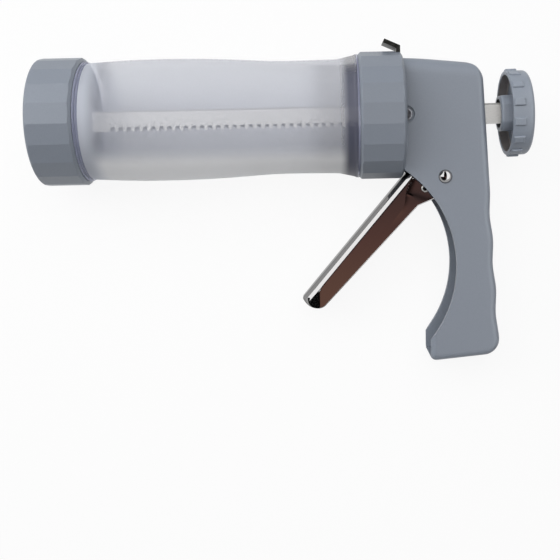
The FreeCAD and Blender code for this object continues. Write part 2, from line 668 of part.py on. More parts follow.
def side_block(inset):
    """Side outline of the housing, extruded; an inset makes the hollow, left open at the front."""
    half = HALF_BODY - inset
    corner_x, corner_y = top_corner(inset)
    back_low = toe_y(back_x(TOE_BOTTOM), inset)
    low_x = back_x(back_low) - inset
    plug_x = WEB_REAR + SEAT_GAP
    front_x = plug_x - inset
    top, top_y = top_edge(front_x, inset)
    edges = [top] + back_edges(inset, corner_y, back_low)
    if inset:
        floor_y = toe_y(front_x, inset)
        edges.append(line_edge((low_x, back_low), (front_x, floor_y)))
        edges.append(line_edge((front_x, floor_y), (front_x, top_y)))
    else:
        edges += grip_front(low_x, back_low, front_x, top_y)
    block = Part.Face(Part.Wire(edges)).extrude(Vector(0, 0, 2 * half))
    block.translate(Vector(0, 0, -half))
    block = round_corner(block, corner_x, corner_y, TOP_BACK_ROUND - inset)
    return round_corner(block, low_x, back_low, TOE_BACK_ROUND - inset)


def grip_front(low_x, low_y, front_x, top_y):
    """Underside, toe, concave grip and plug front of the outer side outline."""
    toe_low = toe_y(TOE_X, 0)
    arc_low = GRIP_FRONT_Y - math.sqrt(GRIP_FRONT_RADIUS ** 2 - (TOE_X - GRIP_FRONT_X) ** 2)
    arc_top = GRIP_FRONT_Y + math.sqrt(GRIP_FRONT_RADIUS ** 2 - GRIP_FRONT_X ** 2)
    deepest = Vector(GRIP_FRONT_X + GRIP_FRONT_RADIUS, GRIP_FRONT_Y, 0)
    return [
        line_edge((low_x, low_y), (TOE_X, toe_low)),
        line_edge((TOE_X, toe_low), (TOE_X, arc_low)),
        Part.Arc(Vector(TOE_X, arc_low, 0), deepest, Vector(0, arc_top, 0)).toShape(),
        line_edge((0, arc_top), (0, PLUG_BOTTOM)),
        line_edge((0, PLUG_BOTTOM), (front_x, PLUG_BOTTOM)),
        line_edge((front_x, PLUG_BOTTOM), (front_x, top_y)),
    ]


def round_topped_bar(inset):
    """Long bar with rounded upper edges, following the slope of the housing's top."""
    radius = TOP_EDGE_ROUND - inset
    half = HALF_BODY - inset
    x0 = -2.0 * BODY_DEPTH
    slope = BODY_TOP_DROP / top_corner(0)[0]
    top = BODY_TOP - inset + TOP_CROWN - slope * x0
    shoulder = top - radius
    low = 2 * TOE_BOTTOM
    diagonal = radius * math.sqrt(0.5)
    edges = [
        Part.LineSegment(Vector(x0, low, -half), Vector(x0, shoulder, -half)).toShape(),
        Part.Arc(Vector(x0, shoulder, -half),
                 Vector(x0, shoulder + diagonal, -half + radius - diagonal),
                 Vector(x0, top, -half + radius)).toShape(),
        Part.LineSegment(Vector(x0, top, -half + radius), Vector(x0, top, half - radius)).toShape(),
        Part.Arc(Vector(x0, top, half - radius),
                 Vector(x0, shoulder + diagonal, half - radius + diagonal),
                 Vector(x0, shoulder, half)).toShape(),
        Part.LineSegment(Vector(x0, shoulder, half), Vector(x0, low, half)).toShape(),
        Part.LineSegment(Vector(x0, low, half), Vector(x0, low, -half)).toShape(),
    ]
    length = 4.0 * BODY_DEPTH
    return Part.Face(Part.Wire(edges)).extrude(Vector(length, -slope * length, 0))


def soften_long_edges(block, half, radius):
    """Round the two side outlines from the underside round the back to the top."""
    def seed(x, y, z):
        return abs(abs(z) - half) < 1e-4 and y < TOE_BOTTOM + 6.0 and x > TOE_X - 0.1
    return block.makeFillet(radius, edges_where(block, seed))


def make_housing():
    outer = round_corner(side_block(0), TOE_X, toe_y(TOE_X, 0), TOE_FRONT_ROUND)
    outer = soften_long_edges(outer, HALF_BODY, SIDE_EDGE_ROUND).common(round_topped_bar(0))
    shell = outer.cut(side_block(WALL).common(round_topped_bar(WALL)))
    rib = box(RIB_X, RIB_X + RIB_THICKNESS, RIB_BOTTOM, BODY_TOP, -HALF_BODY, HALF_BODY).common(outer)
    shell = shell.fuse(rib)
    shell = shell.cut(rod_slot(RIB_X - 1, RIB_X + RIB_THICKNESS + 1, SLIDE_GAP))
    shell = shell.cut(bush_sleeve(SEAT_GAP, BODY_DEPTH + WALL))
    shell = shell.cut(rod_z(PIVOT_X, PIVOT_Y, -HALF_BODY - 1, HALF_BODY + 1, PIVOT_RADIUS + RUNNING_GAP))
    shell = shell.cut(rod_z(SCREW_X, 0, -HALF_BODY - 1, HALF_BODY + 1, SCREW_RADIUS + RUNNING_GAP))
    half_slot = BRAKE_WIDTH / 2 + BRAKE_SLOT_GAP
    shell = shell.cut(box(-2 * PLUG_DEPTH, 0, 0, BODY_TOP + 1, -half_slot, half_slot))
    around = rod_x(-2 * PLUG_DEPTH, 0, 2 * RING_RADIUS)
    shell = shell.cut(around.cut(rod_x(-2 * PLUG_DEPTH, 0, COLLAR_HOLLOW - SEAT_GAP)))
    recess_floor = HALF_BODY - SCREW_RECESS_DEPTH
    for z in (-HALF_BODY - 1, recess_floor):
        shell = shell.cut(rod_z(SCREW_X, 0, z, z + 1 + SCREW_RECESS_DEPTH, SCREW_RECESS_RADIUS))
    return shell.removeSplitter()


def bush_sleeve(gap, x_end):
    """Part of the bush inside the rear wall, or its hole when a gap is given."""
    half_y = HALF_ROD + SLIDE_GAP + BUSH_MARGIN / 2 + gap
    half_z = HALF_ROD_Z + SLIDE_GAP + BUSH_MARGIN / 2 + gap
    return box(bush_front() + gap, x_end, -half_y, half_y, -half_z, half_z)


def bush_front():
    """Front face of the bush, set so that its flange clears the leaning rear wall."""
    flange_half = HALF_ROD + SLIDE_GAP + BUSH_MARGIN
    return back_x(flange_half) - WALL - SEAT_GAP - BUSH_FLANGE


def make_rod_bush():
    half_y = HALF_ROD + SLIDE_GAP + BUSH_MARGIN
    half_z = HALF_ROD_Z + SLIDE_GAP + BUSH_MARGIN
    flange = box(bush_front(), bush_front() + BUSH_FLANGE, -half_y, half_y, -half_z, half_z)
    bush = flange.fuse(bush_sleeve(0, BODY_DEPTH - 0.4))
    return bush.cut(rod_slot(bush_front() - 1, BODY_DEPTH + 1, SLIDE_GAP)).removeSplitter()


def make_collar_screws():
    """Two pan-head screws, one from each side, into the collar's cheeks."""
    floor = HALF_BODY - SCREW_RECESS_DEPTH
    tip = CHEEK_INNER + 0.4
    screws = []
    for side in (1, -1):
        head = rod_z(SCREW_X, 0, floor, floor + SCREW_HEAD_HEIGHT, SCREW_HEAD_RADIUS)
        rim = edges_where(head, lambda x, y, z: z > floor + SCREW_HEAD_HEIGHT - 0.01)
        head = head.makeFillet(0.8, rim)
        for turn in (0, 90):
            slot = box(-2.0, 2.0, -SCREW_SLOT / 2, SCREW_SLOT / 2, floor + SCREW_HEAD_HEIGHT - SCREW_SLOT,
                       floor + SCREW_HEAD_HEIGHT + 1)
            slot.rotate(Vector(0, 0, 0), Vector(0, 0, 1), turn + 20)
            slot.translate(Vector(SCREW_X, 0, 0))
            head = head.cut(slot)
        screw = head.fuse(rod_z(SCREW_X, 0, tip, floor + 0.2, SCREW_RADIUS)).removeSplitter()
        if side < 0:
            screw.rotate(Vector(SCREW_X, 0, 0), Vector(1, 0, 0), 180)
        screws.append(screw.Solids[0])
    return Part.makeCompound(screws)


def make_pivot_pin():
    pin = rod_z(PIVOT_X, PIVOT_Y, -HALF_BODY, HALF_BODY, PIVOT_RADIUS)
    height = PIVOT_HEAD_HEIGHT
    ball = (PIVOT_HEAD_RADIUS ** 2 + height ** 2) / (2 * height)
    for side in (1, -1):
        centre = Vector(PIVOT_X, PIVOT_Y, side * (HALF_BODY + height - ball))
        z0 = min(side * HALF_BODY, side * (HALF_BODY + height))
        dome = Part.makeSphere(ball, centre).common(
            rod_z(PIVOT_X, PIVOT_Y, z0, z0 + height, PIVOT_HEAD_RADIUS))
        pin = pin.fuse(dome)
    return pin.removeSplitter()


def make_pivot_washers():
    washers = []
    for z0 in (HALF_TRIGGER + SEAT_GAP, -INNER_HALF + SEAT_GAP):
        z1 = z0 + INNER_HALF - HALF_TRIGGER - 2 * SEAT_GAP
        ring = rod_z(PIVOT_X, PIVOT_Y, z0, z1, WASHER_RADIUS)
        washers.append(ring.cut(rod_z(PIVOT_X, PIVOT_Y, z0, z1, PIVOT_RADIUS + RUNNING_GAP)).Solids[0])
    return Part.makeCompound(washers)


# ---------------------------------------------------------------- trigger
def along_front(distance, offset):
    """Point on a line parallel to the trigger's front face, from beside the pivot to the tip."""
    foot = polar(PIVOT_X, PIVOT_Y, offset, TRIGGER_ANGLE - 90)
    return polar(foot[0], foot[1], distance, TRIGGER_ANGLE)


def arc_edge(a, b, c):
    return Part.Arc(Vector(a[0], a[1], 0), Vector(b[0], b[1], 0), Vector(c[0], c[1], 0)).toShape()


def trigger_tip(inset):
    """Front corner, nose and back corner of the tip."""
    front = along_front(TRIGGER_LENGTH - inset, TRIGGER_OFFSET - inset)
    back = polar(PIVOT_X, PIVOT_Y, TRIGGER_BACK_REACH - inset, TRIGGER_BACK_ANGLE)
    middle = ((front[0] + back[0]) / 2, (front[1] + back[1]) / 2)
    nose = polar(middle[0], middle[1], TRIGGER_TIP_BULGE, TRIGGER_ANGLE + TRIGGER_TIP_TURN)
    return front, nose, back


def trigger_solid():
    """Trigger as if cut from a solid bar: grip, hub and arm in one side outline."""
    front, nose, back = trigger_tip(0)
    top = along_front(0, TRIGGER_OFFSET)
    hub = [polar(PIVOT_X, PIVOT_Y, TRIGGER_HUB_RADIUS, a) for a in (-80, -35, 10)]
    arm = [polar(PAWL_PIN_X, PAWL_PIN_Y, ARM_END_RADIUS, a) for a in (-15, ARM_ANGLE, 160)]
    tab = (TRIGGER_TAB_X, TRIGGER_TAB_Y)
    edges = [
        line_edge(top, front), arc_edge(front, nose, back), line_edge(back, tab),
        line_edge(tab, hub[0]), arc_edge(*hub), line_edge(hub[2], arm[0]), arc_edge(*arm),
        line_edge(arm[2], top),
    ]
    bar = Part.Face(Part.Wire(edges)).extrude(Vector(0, 0, TRIGGER_WIDTH))
    bar.translate(Vector(0, 0, -HALF_TRIGGER))
    bar = round_corner(bar, front[0], front[1], TRIGGER_TIP_ROUND)
    return bar.common(round_fronted_bar(0))


def round_fronted_bar(inset):
    """Long bar along the trigger's front face, its two front edges rounded."""
    radius = TRIGGER_EDGE_ROUND - inset
    half = HALF_TRIGGER - inset
    face = TRIGGER_OFFSET - inset
    far = TRIGGER_OFFSET - TRIGGER_LENGTH
    within = radius * (1 - math.sqrt(0.5))

    def spot(offset, z):
        x, y = along_front(-TRIGGER_LENGTH, offset)
        return Vector(x, y, z)
    edges = [
        Part.LineSegment(spot(far, -half), spot(face - radius, -half)).toShape(),
        Part.Arc(spot(face - radius, -half), spot(face - within, within - half),
                 spot(face, radius - half)).toShape(),
        Part.LineSegment(spot(face, radius - half), spot(face, half - radius)).toShape(),
        Part.Arc(spot(face, half - radius), spot(face - within, half - within),
                 spot(face - radius, half)).toShape(),
        Part.LineSegment(spot(face - radius, half), spot(far, half)).toShape(),
        Part.LineSegment(spot(far, half), spot(far, -half)).toShape(),
    ]
    reach = polar(0, 0, 3.0 * TRIGGER_LENGTH, TRIGGER_ANGLE)
    return Part.Face(Part.Wire(edges)).extrude(Vector(reach[0], reach[1], 0))


def trigger_hollow():
    """Everything between the trigger's two side plates, behind its front sheet."""
    sheet = TRIGGER_SHEET
    front, nose, back = trigger_tip(sheet)
    top = along_front(-TRIGGER_LENGTH, TRIGGER_OFFSET - sheet)
    far = along_front(-TRIGGER_LENGTH, TRIGGER_OFFSET - TRIGGER_LENGTH)
    low = along_front(TRIGGER_LENGTH - sheet, TRIGGER_OFFSET - TRIGGER_LENGTH)
    edges = [line_edge(top, front), arc_edge(front, nose, back), line_edge(back, low),
             line_edge(low, far), line_edge(far, top)]
    space = Part.Face(Part.Wire(edges)).extrude(Vector(0, 0, TRIGGER_WIDTH))
    space.translate(Vector(0, 0, -HALF_TRIGGER))
    space = round_corner(space, front[0], front[1], TRIGGER_TIP_ROUND - sheet)
    return space.common(round_fronted_bar(sheet))


def make_trigger():
    trigger = trigger_solid().cut(trigger_hollow())
    holes = [
        (PIVOT_X, PIVOT_Y, PIVOT_RADIUS), (PAWL_PIN_X, PAWL_PIN_Y, PAWL_PIN_RADIUS),
        (EYELET_X, EYELET_Y, EYELET_RADIUS),
    ]
    for x, y, radius in holes:
        trigger = trigger.cut(rod_z(x, y, -HALF_TRIGGER - 1, HALF_TRIGGER + 1, radius + RUNNING_GAP))
    return trigger.removeSplitter()


def make_trigger_eyelet():
    """Hollow cross rivet with a flared rim on each side plate."""
    outer = HALF_TRIGGER + EYELET_FLARE
    tube = rod_z(EYELET_X, EYELET_Y, -outer, outer, EYELET_RADIUS)
    for z in (-outer, HALF_TRIGGER):
        tube = tube.fuse(rod_z(EYELET_X, EYELET_Y, z, z + EYELET_FLARE, EYELET_FLARE_RADIUS))
    return tube.cut(rod_z(EYELET_X, EYELET_Y, -outer, outer, EYELET_BORE)).removeSplitter()


def make_pawl_pin():
    outer = HALF_TRIGGER + PAWL_PIN_HEAD
    pin = rod_z(PAWL_PIN_X, PAWL_PIN_Y, -outer, outer, PAWL_PIN_RADIUS)
    for z in (-outer, HALF_TRIGGER):
        pin = pin.fuse(rod_z(PAWL_PIN_X, PAWL_PIN_Y, z, z + PAWL_PIN_HEAD, PAWL_PIN_HEAD_RADIUS))
    return pin.removeSplitter()


def make_drive_pawl():
    """Pawl that stands on its pin just below the rod's teeth."""
    x, y = PAWL_PIN_X, PAWL_PIN_Y
    nose_x = x - PAWL_TIP_WIDTH / 2
    tip = y + PAWL_RISE
    blade = slab([
        (x - PAWL_HUB_RADIUS, y), (x + PAWL_HUB_RADIUS, y), (nose_x + PAWL_TIP_WIDTH, tip - 1.2),
        (nose_x + 0.6, tip), (nose_x, tip),
    ], PAWL_WIDTH / 2)
    pawl = blade.fuse(rod_z(x, y, -PAWL_WIDTH / 2, PAWL_WIDTH / 2, PAWL_HUB_RADIUS))
    return pawl.cut(rod_z(x, y, -PAWL_WIDTH, PAWL_WIDTH, PAWL_PIN_RADIUS + RUNNING_GAP)).removeSplitter()


# ---------------------------------------------------------------- brake plate and springs
def make_brake_plate():
    front = BRAKE_X - BRAKE_SHEET / 2
    rear = BRAKE_X + BRAKE_SHEET / 2
    rise = math.radians(BRAKE_TAB_RISE)
    end = polar(rear, BRAKE_BEND_Y, BRAKE_TAB_LENGTH, 180 - BRAKE_TAB_RISE)
    under_end = polar(end[0], end[1], BRAKE_SHEET, 270 - BRAKE_TAB_RISE)
    inner_y = under_end[1] - (front - under_end[0]) * math.tan(rise)
    plate = slab([
        (front, BRAKE_BOTTOM), (rear, BRAKE_BOTTOM), (rear, BRAKE_BEND_Y), end, under_end,
        (front, inner_y),
    ], BRAKE_WIDTH / 2)
    return plate.cut(rod_slot(front - 1, rear + 1, BRAKE_HOLE_GAP))


def coil(radius, wire, pitch, turns):
    """Helical wire about +Z that starts at (radius, 0, 0)."""
    helix = Part.makeHelix(pitch, pitch * turns, radius)
    start = Vector(radius, 0, 0)
    heading = Vector(0, 2 * math.pi * radius, pitch)
    section = Part.Wire(Part.makeCircle(wire / 2, start, heading))
    return Part.Wire(helix.Edges).makePipeShell([section], True, True)


def make_brake_spring():
    length = RIB_X - SPRING_WIRE - BRAKE_SPRING_FRONT
    spring = coil(BRAKE_SPRING_RADIUS, SPRING_WIRE, length / BRAKE_SPRING_TURNS, BRAKE_SPRING_TURNS)
    spring.rotate(Vector(0, 0, 0), Vector(0, 1, 0), 90)
    spring.translate(Vector(BRAKE_SPRING_FRONT + SPRING_WIRE / 2, 0, 0))
    return spring


def torsion_spring(x, y, z0, radius, wire, pitch, turns, first_leg, last_leg):
    """Coil about Z at (x, y) with a straight leg, (angle, reach), running on from each end."""
    start = first_leg[0] + math.degrees(math.acos(radius / first_leg[1]))
    finish = last_leg[0] - math.degrees(math.acos(radius / last_leg[1]))
    whole = turns + (finish - start) / 360.0 - math.floor((finish - start) / 360.0)
    steps = int(whole * 12)
    spots = []
    for k in range(steps + 1):
        at = polar(x, y, radius, start + 360.0 * whole * k / steps)
        spots.append(Vector(at[0], at[1], z0 + pitch * whole * k / steps))
    first = leg_spots(spots[0], polar(x, y, first_leg[1], first_leg[0]))
    last = leg_spots(spots[-1], polar(x, y, last_leg[1], last_leg[0]))
    curve = Part.BSplineCurve()
    curve.interpolate(first[::-1] + spots + last)
    section = Part.Wire(Part.makeCircle(wire / 2, first[2], first[1] - first[2]))
    return Part.Wire([curve.toShape()]).makePipeShell([section], True, False)


def leg_spots(root, tip):
    """Three points along a leg, from near the coil to its tip."""
    reach = Vector(tip[0] - root.x, tip[1] - root.y, 0)
    return [root + reach * part for part in (1 / 3, 2 / 3, 1.0)]


def make_trigger_spring():
    height = TRIGGER_SPRING_PITCH * TRIGGER_SPRING_TURNS
    return torsion_spring(PIVOT_X, PIVOT_Y, -height / 2, TRIGGER_SPRING_RADIUS, SPRING_WIRE,
                          TRIGGER_SPRING_PITCH, TRIGGER_SPRING_TURNS - 1,
                          (TRIGGER_LEG_ANGLE, TRIGGER_LEG_REACH), (HOUSING_LEG_ANGLE, HOUSING_LEG_REACH))


def make_pawl_spring():
    z0 = PAWL_WIDTH / 2 + PAWL_SPRING_WIRE
    return torsion_spring(PAWL_PIN_X, PAWL_PIN_Y, z0, PAWL_SPRING_RADIUS, PAWL_SPRING_WIRE,
                          PAWL_SPRING_PITCH, PAWL_SPRING_TURNS - 1,
                          (ARM_ANGLE + 140, PAWL_LEG_REACH), (ARM_ANGLE + 40, PAWL_LEG_REACH))


# ---------------------------------------------------------------- laying the tool down
MAKERS = {
    "front_cap": make_front_cap,
    "forming_disc": make_forming_disc,
    "barrel": make_barrel,
    "piston_head": make_piston_head,
    "piston_seal": make_piston_seal,
    "piston_pin": make_piston_pin,
    "rack_rod": make_rack_rod,
    "pull_knob": make_knob,
    "knob_pin": make_knob_pin,
    "collar": make_collar,
    "collar_screws": make_collar_screws,
    "housing": make_housing,
    "rod_bush": make_rod_bush,
    "pivot_pin": make_pivot_pin,
    "pivot_washers": make_pivot_washers,
    "trigger": make_trigger,
    "trigger_eyelet": make_trigger_eyelet,
    "trigger_spring": make_trigger_spring,
    "drive_pawl": make_drive_pawl,
    "pawl_pin": make_pawl_pin,
    "pawl_spring": make_pawl_spring,
    "brake_plate": make_brake_plate,
    "brake_spring": make_brake_spring,
}


def roll_angle():
    """Roll about the barrel that rests the tool on its rings and the side of its toe."""
    reach = TOE_BOTTOM + SIDE_EDGE_ROUND
    side = SIDE_EDGE_ROUND - HALF_BODY
    drop = SIDE_EDGE_ROUND - RING_RADIUS
    span = math.hypot(reach, side)
    return math.degrees(math.atan2(reach, side) + math.acos(drop / span))


def lay_down(shapes):
    """Roll every piece about the barrel, then stand the whole on z = 0 about the origin."""
    for shape in shapes.values():
        shape.rotate(Vector(0, 0, 0), Vector(1, 0, 0), roll_angle())
    whole = Part.makeCompound(list(shapes.values())).optimalBoundingBox(False, False)
    shift = Vector(round(-whole.Center.x, 6), -whole.Center.y, -whole.ZMin)
    for shape in shapes.values():
        shape.translate(shift)
    return shift


def build():
    """Every piece in its resting place, and the shift from the tool frame's origin."""
    shapes = {}
    for name, make in MAKERS.items():
        made = make()
        shapes[name] = made if len(made.Solids) > 1 else made.Solids[0]
    shift = lay_down(shapes)
    return shapes, shift


os.makedirs("parts", exist_ok=True)
PIECES, SHIFT = build()
for piece_name, piece in PIECES.items():
    piece.exportStep("parts/" + piece_name + ".step")
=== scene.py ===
import math

import bmesh
import bpy
from mathutils import Matrix, Vector
from mathutils.geometry import delaunay_2d_cdt


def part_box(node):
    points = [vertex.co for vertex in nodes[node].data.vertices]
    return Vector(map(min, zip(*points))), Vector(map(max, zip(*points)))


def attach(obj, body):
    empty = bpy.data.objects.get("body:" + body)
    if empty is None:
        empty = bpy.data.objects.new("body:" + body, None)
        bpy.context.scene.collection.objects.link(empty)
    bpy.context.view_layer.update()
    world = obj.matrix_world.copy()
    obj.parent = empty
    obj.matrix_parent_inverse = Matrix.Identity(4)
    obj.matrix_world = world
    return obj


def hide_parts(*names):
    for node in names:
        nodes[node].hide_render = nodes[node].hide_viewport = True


# The churro maker's looks. Pieces are drawn in the tool frame, in millimetres: x runs along the
# barrel with the outlet at -x, y points away from the handle and z to the side that lies on top.

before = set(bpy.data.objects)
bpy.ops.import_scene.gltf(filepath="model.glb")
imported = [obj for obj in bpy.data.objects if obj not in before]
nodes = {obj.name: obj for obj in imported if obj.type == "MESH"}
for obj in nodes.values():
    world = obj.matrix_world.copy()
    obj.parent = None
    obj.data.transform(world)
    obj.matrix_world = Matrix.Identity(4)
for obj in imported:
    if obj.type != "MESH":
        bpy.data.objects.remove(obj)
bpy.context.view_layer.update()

# ---------------------------------------------------------------- sizes, most of them the solids' own
ROLL = math.radians(9.0429)       # the tool's roll about its barrel as it lies on the floor
CAP_FRONT = -179.0
CAP_REAR = -156.8
BARREL_FRONT = -174.3
BARREL_BORE = 25.6
BARREL_SPIGOT = 28.15
BARREL_END = -8.4
END_CHAMFER = 0.4                 # of the barrel's two ends
FRONT_LIP_RADIUS = 29.7
REAR_LIP_RADIUS = 30.6
FRONT_NECK_RADIUS = 28.8
BULGE = (-118.0, 30.1)            # x and radius of the barrel's widest place
WAIST = (-52.0, 27.94)            # and of its narrowest
FLARE_START = (-31.6, 28.34)      # where it begins to widen to the rear lip

HALF_TRIGGER = 9.4
SHEET = 1.2
PIVOT = (19.6, -30.6)
PAWL_PIN = (25.16, -13.48)
TRIGGER_ANGLE = 229.4             # direction of the trigger's front face, from +X
TRIGGER_OFFSET = 15.1             # from the pivot to that face
TRIGGER_LENGTH = 92.0             # along the front face; the solid's is 91.6
TRIGGER_EDGE_ROUND = 3.6
TRIGGER_HUB_RADIUS = 8.6
ARM_END_RADIUS = 4.4
TAB_CORNER = (6.7, -44.8)         # lower corner of the trigger's wide upper part
TIP_NOSE = (-44.2, -95.2)
TIP_BACK = (-39.5, -93.2)
EYELET = (10.1, -36.3)

KNOB_BACK = 62.0
KNOB_RADIUS = 20.9
KNOB_WALL = 1.9
KNOB_ROUND = 2.4                  # of the back's edge; the solid's is 3.2
HUB_FACE = 48.2
HUB_RADIUS = 9.8                  # the solid's is 9.3
GRIP_PADS = 14
PAD_TURN = 12.2                   # degrees from +Z to the first pad
FIRST_TOOTH = -145.6
TOOTH_PITCH = 4.05
TOOTH_COUNT = 44
TEETH_END = FIRST_TOOTH + TOOTH_COUNT * TOOTH_PITCH

seal_low, seal_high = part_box("piston_seal")
cap_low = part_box("front_cap")[0]
ORIGIN = Vector((
    cap_low.x - CAP_FRONT * 0.001,
    (seal_low.y + seal_high.y) / 2,
    (seal_low.z + seal_high.z) / 2,
))
TOOL = Matrix.Translation(ORIGIN) @ Matrix.Rotation(ROLL, 4, "X") @ Matrix.Scale(0.001, 4)


# ---------------------------------------------------------------- materials
def new_material(name):
    mat = bpy.data.materials.new(name)
    mat.use_nodes = True
    return mat, mat.node_tree, mat.node_tree.nodes["Principled BSDF"]


def noise(tree, scale, stretch=None):
    """Noise in object coordinates; stretch scales each axis."""
    coords = tree.nodes.new("ShaderNodeTexCoord")
    source = coords.outputs["Object"]
    if stretch:
        mapping = tree.nodes.new("ShaderNodeMapping")
        mapping.inputs["Scale"].default_value = stretch
        tree.links.new(source, mapping.inputs["Vector"])
        source = mapping.outputs["Vector"]
    node = tree.nodes.new("ShaderNodeTexNoise")
    node.inputs["Scale"].default_value = scale
    node.inputs["Detail"].default_value = 3.0
    tree.links.new(source, node.inputs["Vector"])
    return node.outputs["Fac"]


def shade(colour, factor):
    return tuple(c * factor for c in colour)


def flecked(tree, source, colour, spread):
    """Colour that a noise makes darker and brighter by up to a share of itself."""
    node = tree.nodes.new("ShaderNodeValToRGB")
    dark, bright = node.color_ramp.elements
    dark.position, bright.position = 0.35, 0.65
    dark.color = shade(colour, 1 - spread) + (1.0,)
    bright.color = shade(colour, 1 + spread) + (1.0,)
    tree.links.new(source, node.inputs["Fac"])
    return node.outputs["Color"]


def bump(tree, shader, height, strength, distance, edge=0.0):
    """Fine relief; edge rounds the mesh's sharp edges for the light, in metres."""
    node = tree.nodes.new("ShaderNodeBump")
    node.inputs["Strength"].default_value = strength
    node.inputs["Distance"].default_value = distance
    tree.links.new(height, node.inputs["Height"])
    if edge:
        bevel = tree.nodes.new("ShaderNodeBevel")
        bevel.samples = 6
        bevel.inputs["Radius"].default_value = edge
        tree.links.new(bevel.outputs["Normal"], node.inputs["Normal"])
    tree.links.new(node.outputs["Normal"], shader.inputs["Normal"])


def plastic(name, colour, rough, edge=0.0):
    """Moulded plastic with a fine spark-eroded grain."""
    mat, tree, shader = new_material(name)
    fine = noise(tree, scale=2600.0)
    tree.links.new(flecked(tree, fine, colour, spread=0.035), shader.inputs["Base Color"])
    shader.inputs["Roughness"].default_value = rough
    bump(tree, shader, fine, strength=0.12, distance=0.00006, edge=edge)
    return mat


def metal(name, colour, rough, stretch=None, scale=900.0, relief=0.05, spread=0.06, metallic=1.0, rim=1.0):
    """Bright metal, brushed where the noise is stretched; rim is its brightness where it turns edge-on."""
    mat, tree, shader = new_material(name)
    lines = noise(tree, scale, stretch)
    tree.links.new(flecked(tree, lines, colour, spread), shader.inputs["Base Color"])
    shader.inputs["Metallic"].default_value = metallic
    shader.inputs["Roughness"].default_value = rough
    shader.inputs["Specular Tint"].default_value = (rim, rim, rim, 1.0)
    bump(tree, shader, lines, strength=relief, distance=0.00003)
    return mat


def wall_plastic(name, colour, rough, grain):
    """Start of a barrel wall material: its tree and shader, and its finely flecked colour."""
    mat, tree, shader = new_material(name)
    fine = noise(tree, scale=2200.0)
    shader.inputs["Roughness"].default_value = rough
    bump(tree, shader, fine, strength=grain, distance=0.00005)
    return mat, tree, shader, flecked(tree, fine, colour, spread=0.015)


def see_through(name, colour, alpha, rough, grain):
    """Moulded barrel wall that lets part of the picture behind it through."""
    mat, tree, shader, base = wall_plastic(name, colour, rough, grain)
    tree.links.new(base, shader.inputs["Base Color"])
    shader.inputs["Alpha"].default_value = alpha
    return mat


def number(tree, operation, first, second=0.0):
    """Result of a math node on an output and a number or a second output."""
    node = tree.nodes.new("ShaderNodeMath")
    node.operation = operation
    tree.links.new(first, node.inputs[0])
    if isinstance(second, float):
        node.inputs[1].default_value = second
    else:
        tree.links.new(second, node.inputs[1])
    return node.outputs[0]


def share_along(tree, source, way):
    """Dot product of a vector output and a fixed vector."""
    node = tree.nodes.new("ShaderNodeVectorMath")
    node.operation = "DOT_PRODUCT"
    node.inputs[1].default_value = way
    tree.links.new(source, node.inputs[0])
    return node.outputs["Value"]


def tool_way(axis):
    """Unit vector along one of the tool frame's axes."""
    return (TOOL.to_3x3() @ Vector(axis)).normalized()


def tool_distance(tree, axis):
    """Distance from the tool frame's origin along one of its axes, in millimetres."""
    way = tool_way(axis) * 1000.0
    coords = tree.nodes.new("ShaderNodeTexCoord")
    return number(tree, "SUBTRACT", share_along(tree, coords.outputs["Object"], way), way.dot(ORIGIN))


def blend(tree, factor, low, high):
    """Colour from low to high by a factor; each is a colour or a node's output."""
    mix = tree.nodes.new("ShaderNodeMix")
    mix.data_type = "RGBA"
    tree.links.new(factor, mix.inputs["Factor"])
    for socket, value in (("A", low), ("B", high)):
        if isinstance(value, tuple):
            mix.inputs[socket].default_value = value + (1.0,)
        else:
            tree.links.new(value, mix.inputs[socket])
    return mix.outputs["Result"]


def span(tree, source, low, high, start=0.0, end=1.0):
    """Smooth step of a value between two limits."""
    node = tree.nodes.new("ShaderNodeMapRange")
    node.interpolation_type = "SMOOTHSTEP"
    node.inputs["From Min"].default_value = low
    node.inputs["From Max"].default_value = high
    node.inputs["To Min"].default_value = start
    node.inputs["To Max"].default_value = end
    tree.links.new(source, node.inputs["Value"])
    return node.outputs["Result"]


def blend_value(tree, factor, low, high):
    """Number from low to high by a factor; low may be a node's output."""
    mix = tree.nodes.new("ShaderNodeMix")
    tree.links.new(factor, mix.inputs["Factor"])
    if isinstance(low, float):
        mix.inputs["A"].default_value = low
    else:
        tree.links.new(low, mix.inputs["A"])
    mix.inputs["B"].default_value = high
    return mix.outputs["Result"]


def product(tree, first, second):
    return number(tree, "MULTIPLY", first, second)


# Where the barrel changes its look: the place where a change begins and the place where it is complete.
LOW_PAINTED_LIGHT = (-13.5, -22.0)         # y, to the band low down painted lighter, as light from the paper below shining through the wall
HAZE = (-143.5, -152.5)           # x, to the haze at the cap
FLARE = (-31.8, -26.8)            # x, to the painted shade where it widens to the collar, standing in for the collar's shade
LOW_HIDING = (4.0, -6.0)          # y, to the part that hides more when seen at a slant
LOW_SLANT = (0.10, 0.38)          # facing values for that, 0 straight on and 1 edge-on
FLARE_HIDING = (-30.5, -26.8)     # x, to the part that hides more at the flare
FLARE_SLANT = (0.62, 0.26)        # facing values for that, from a slant to straight on
BORE_SHADE = (-56.0, -34.0)       # x, to the inside that the collar shades


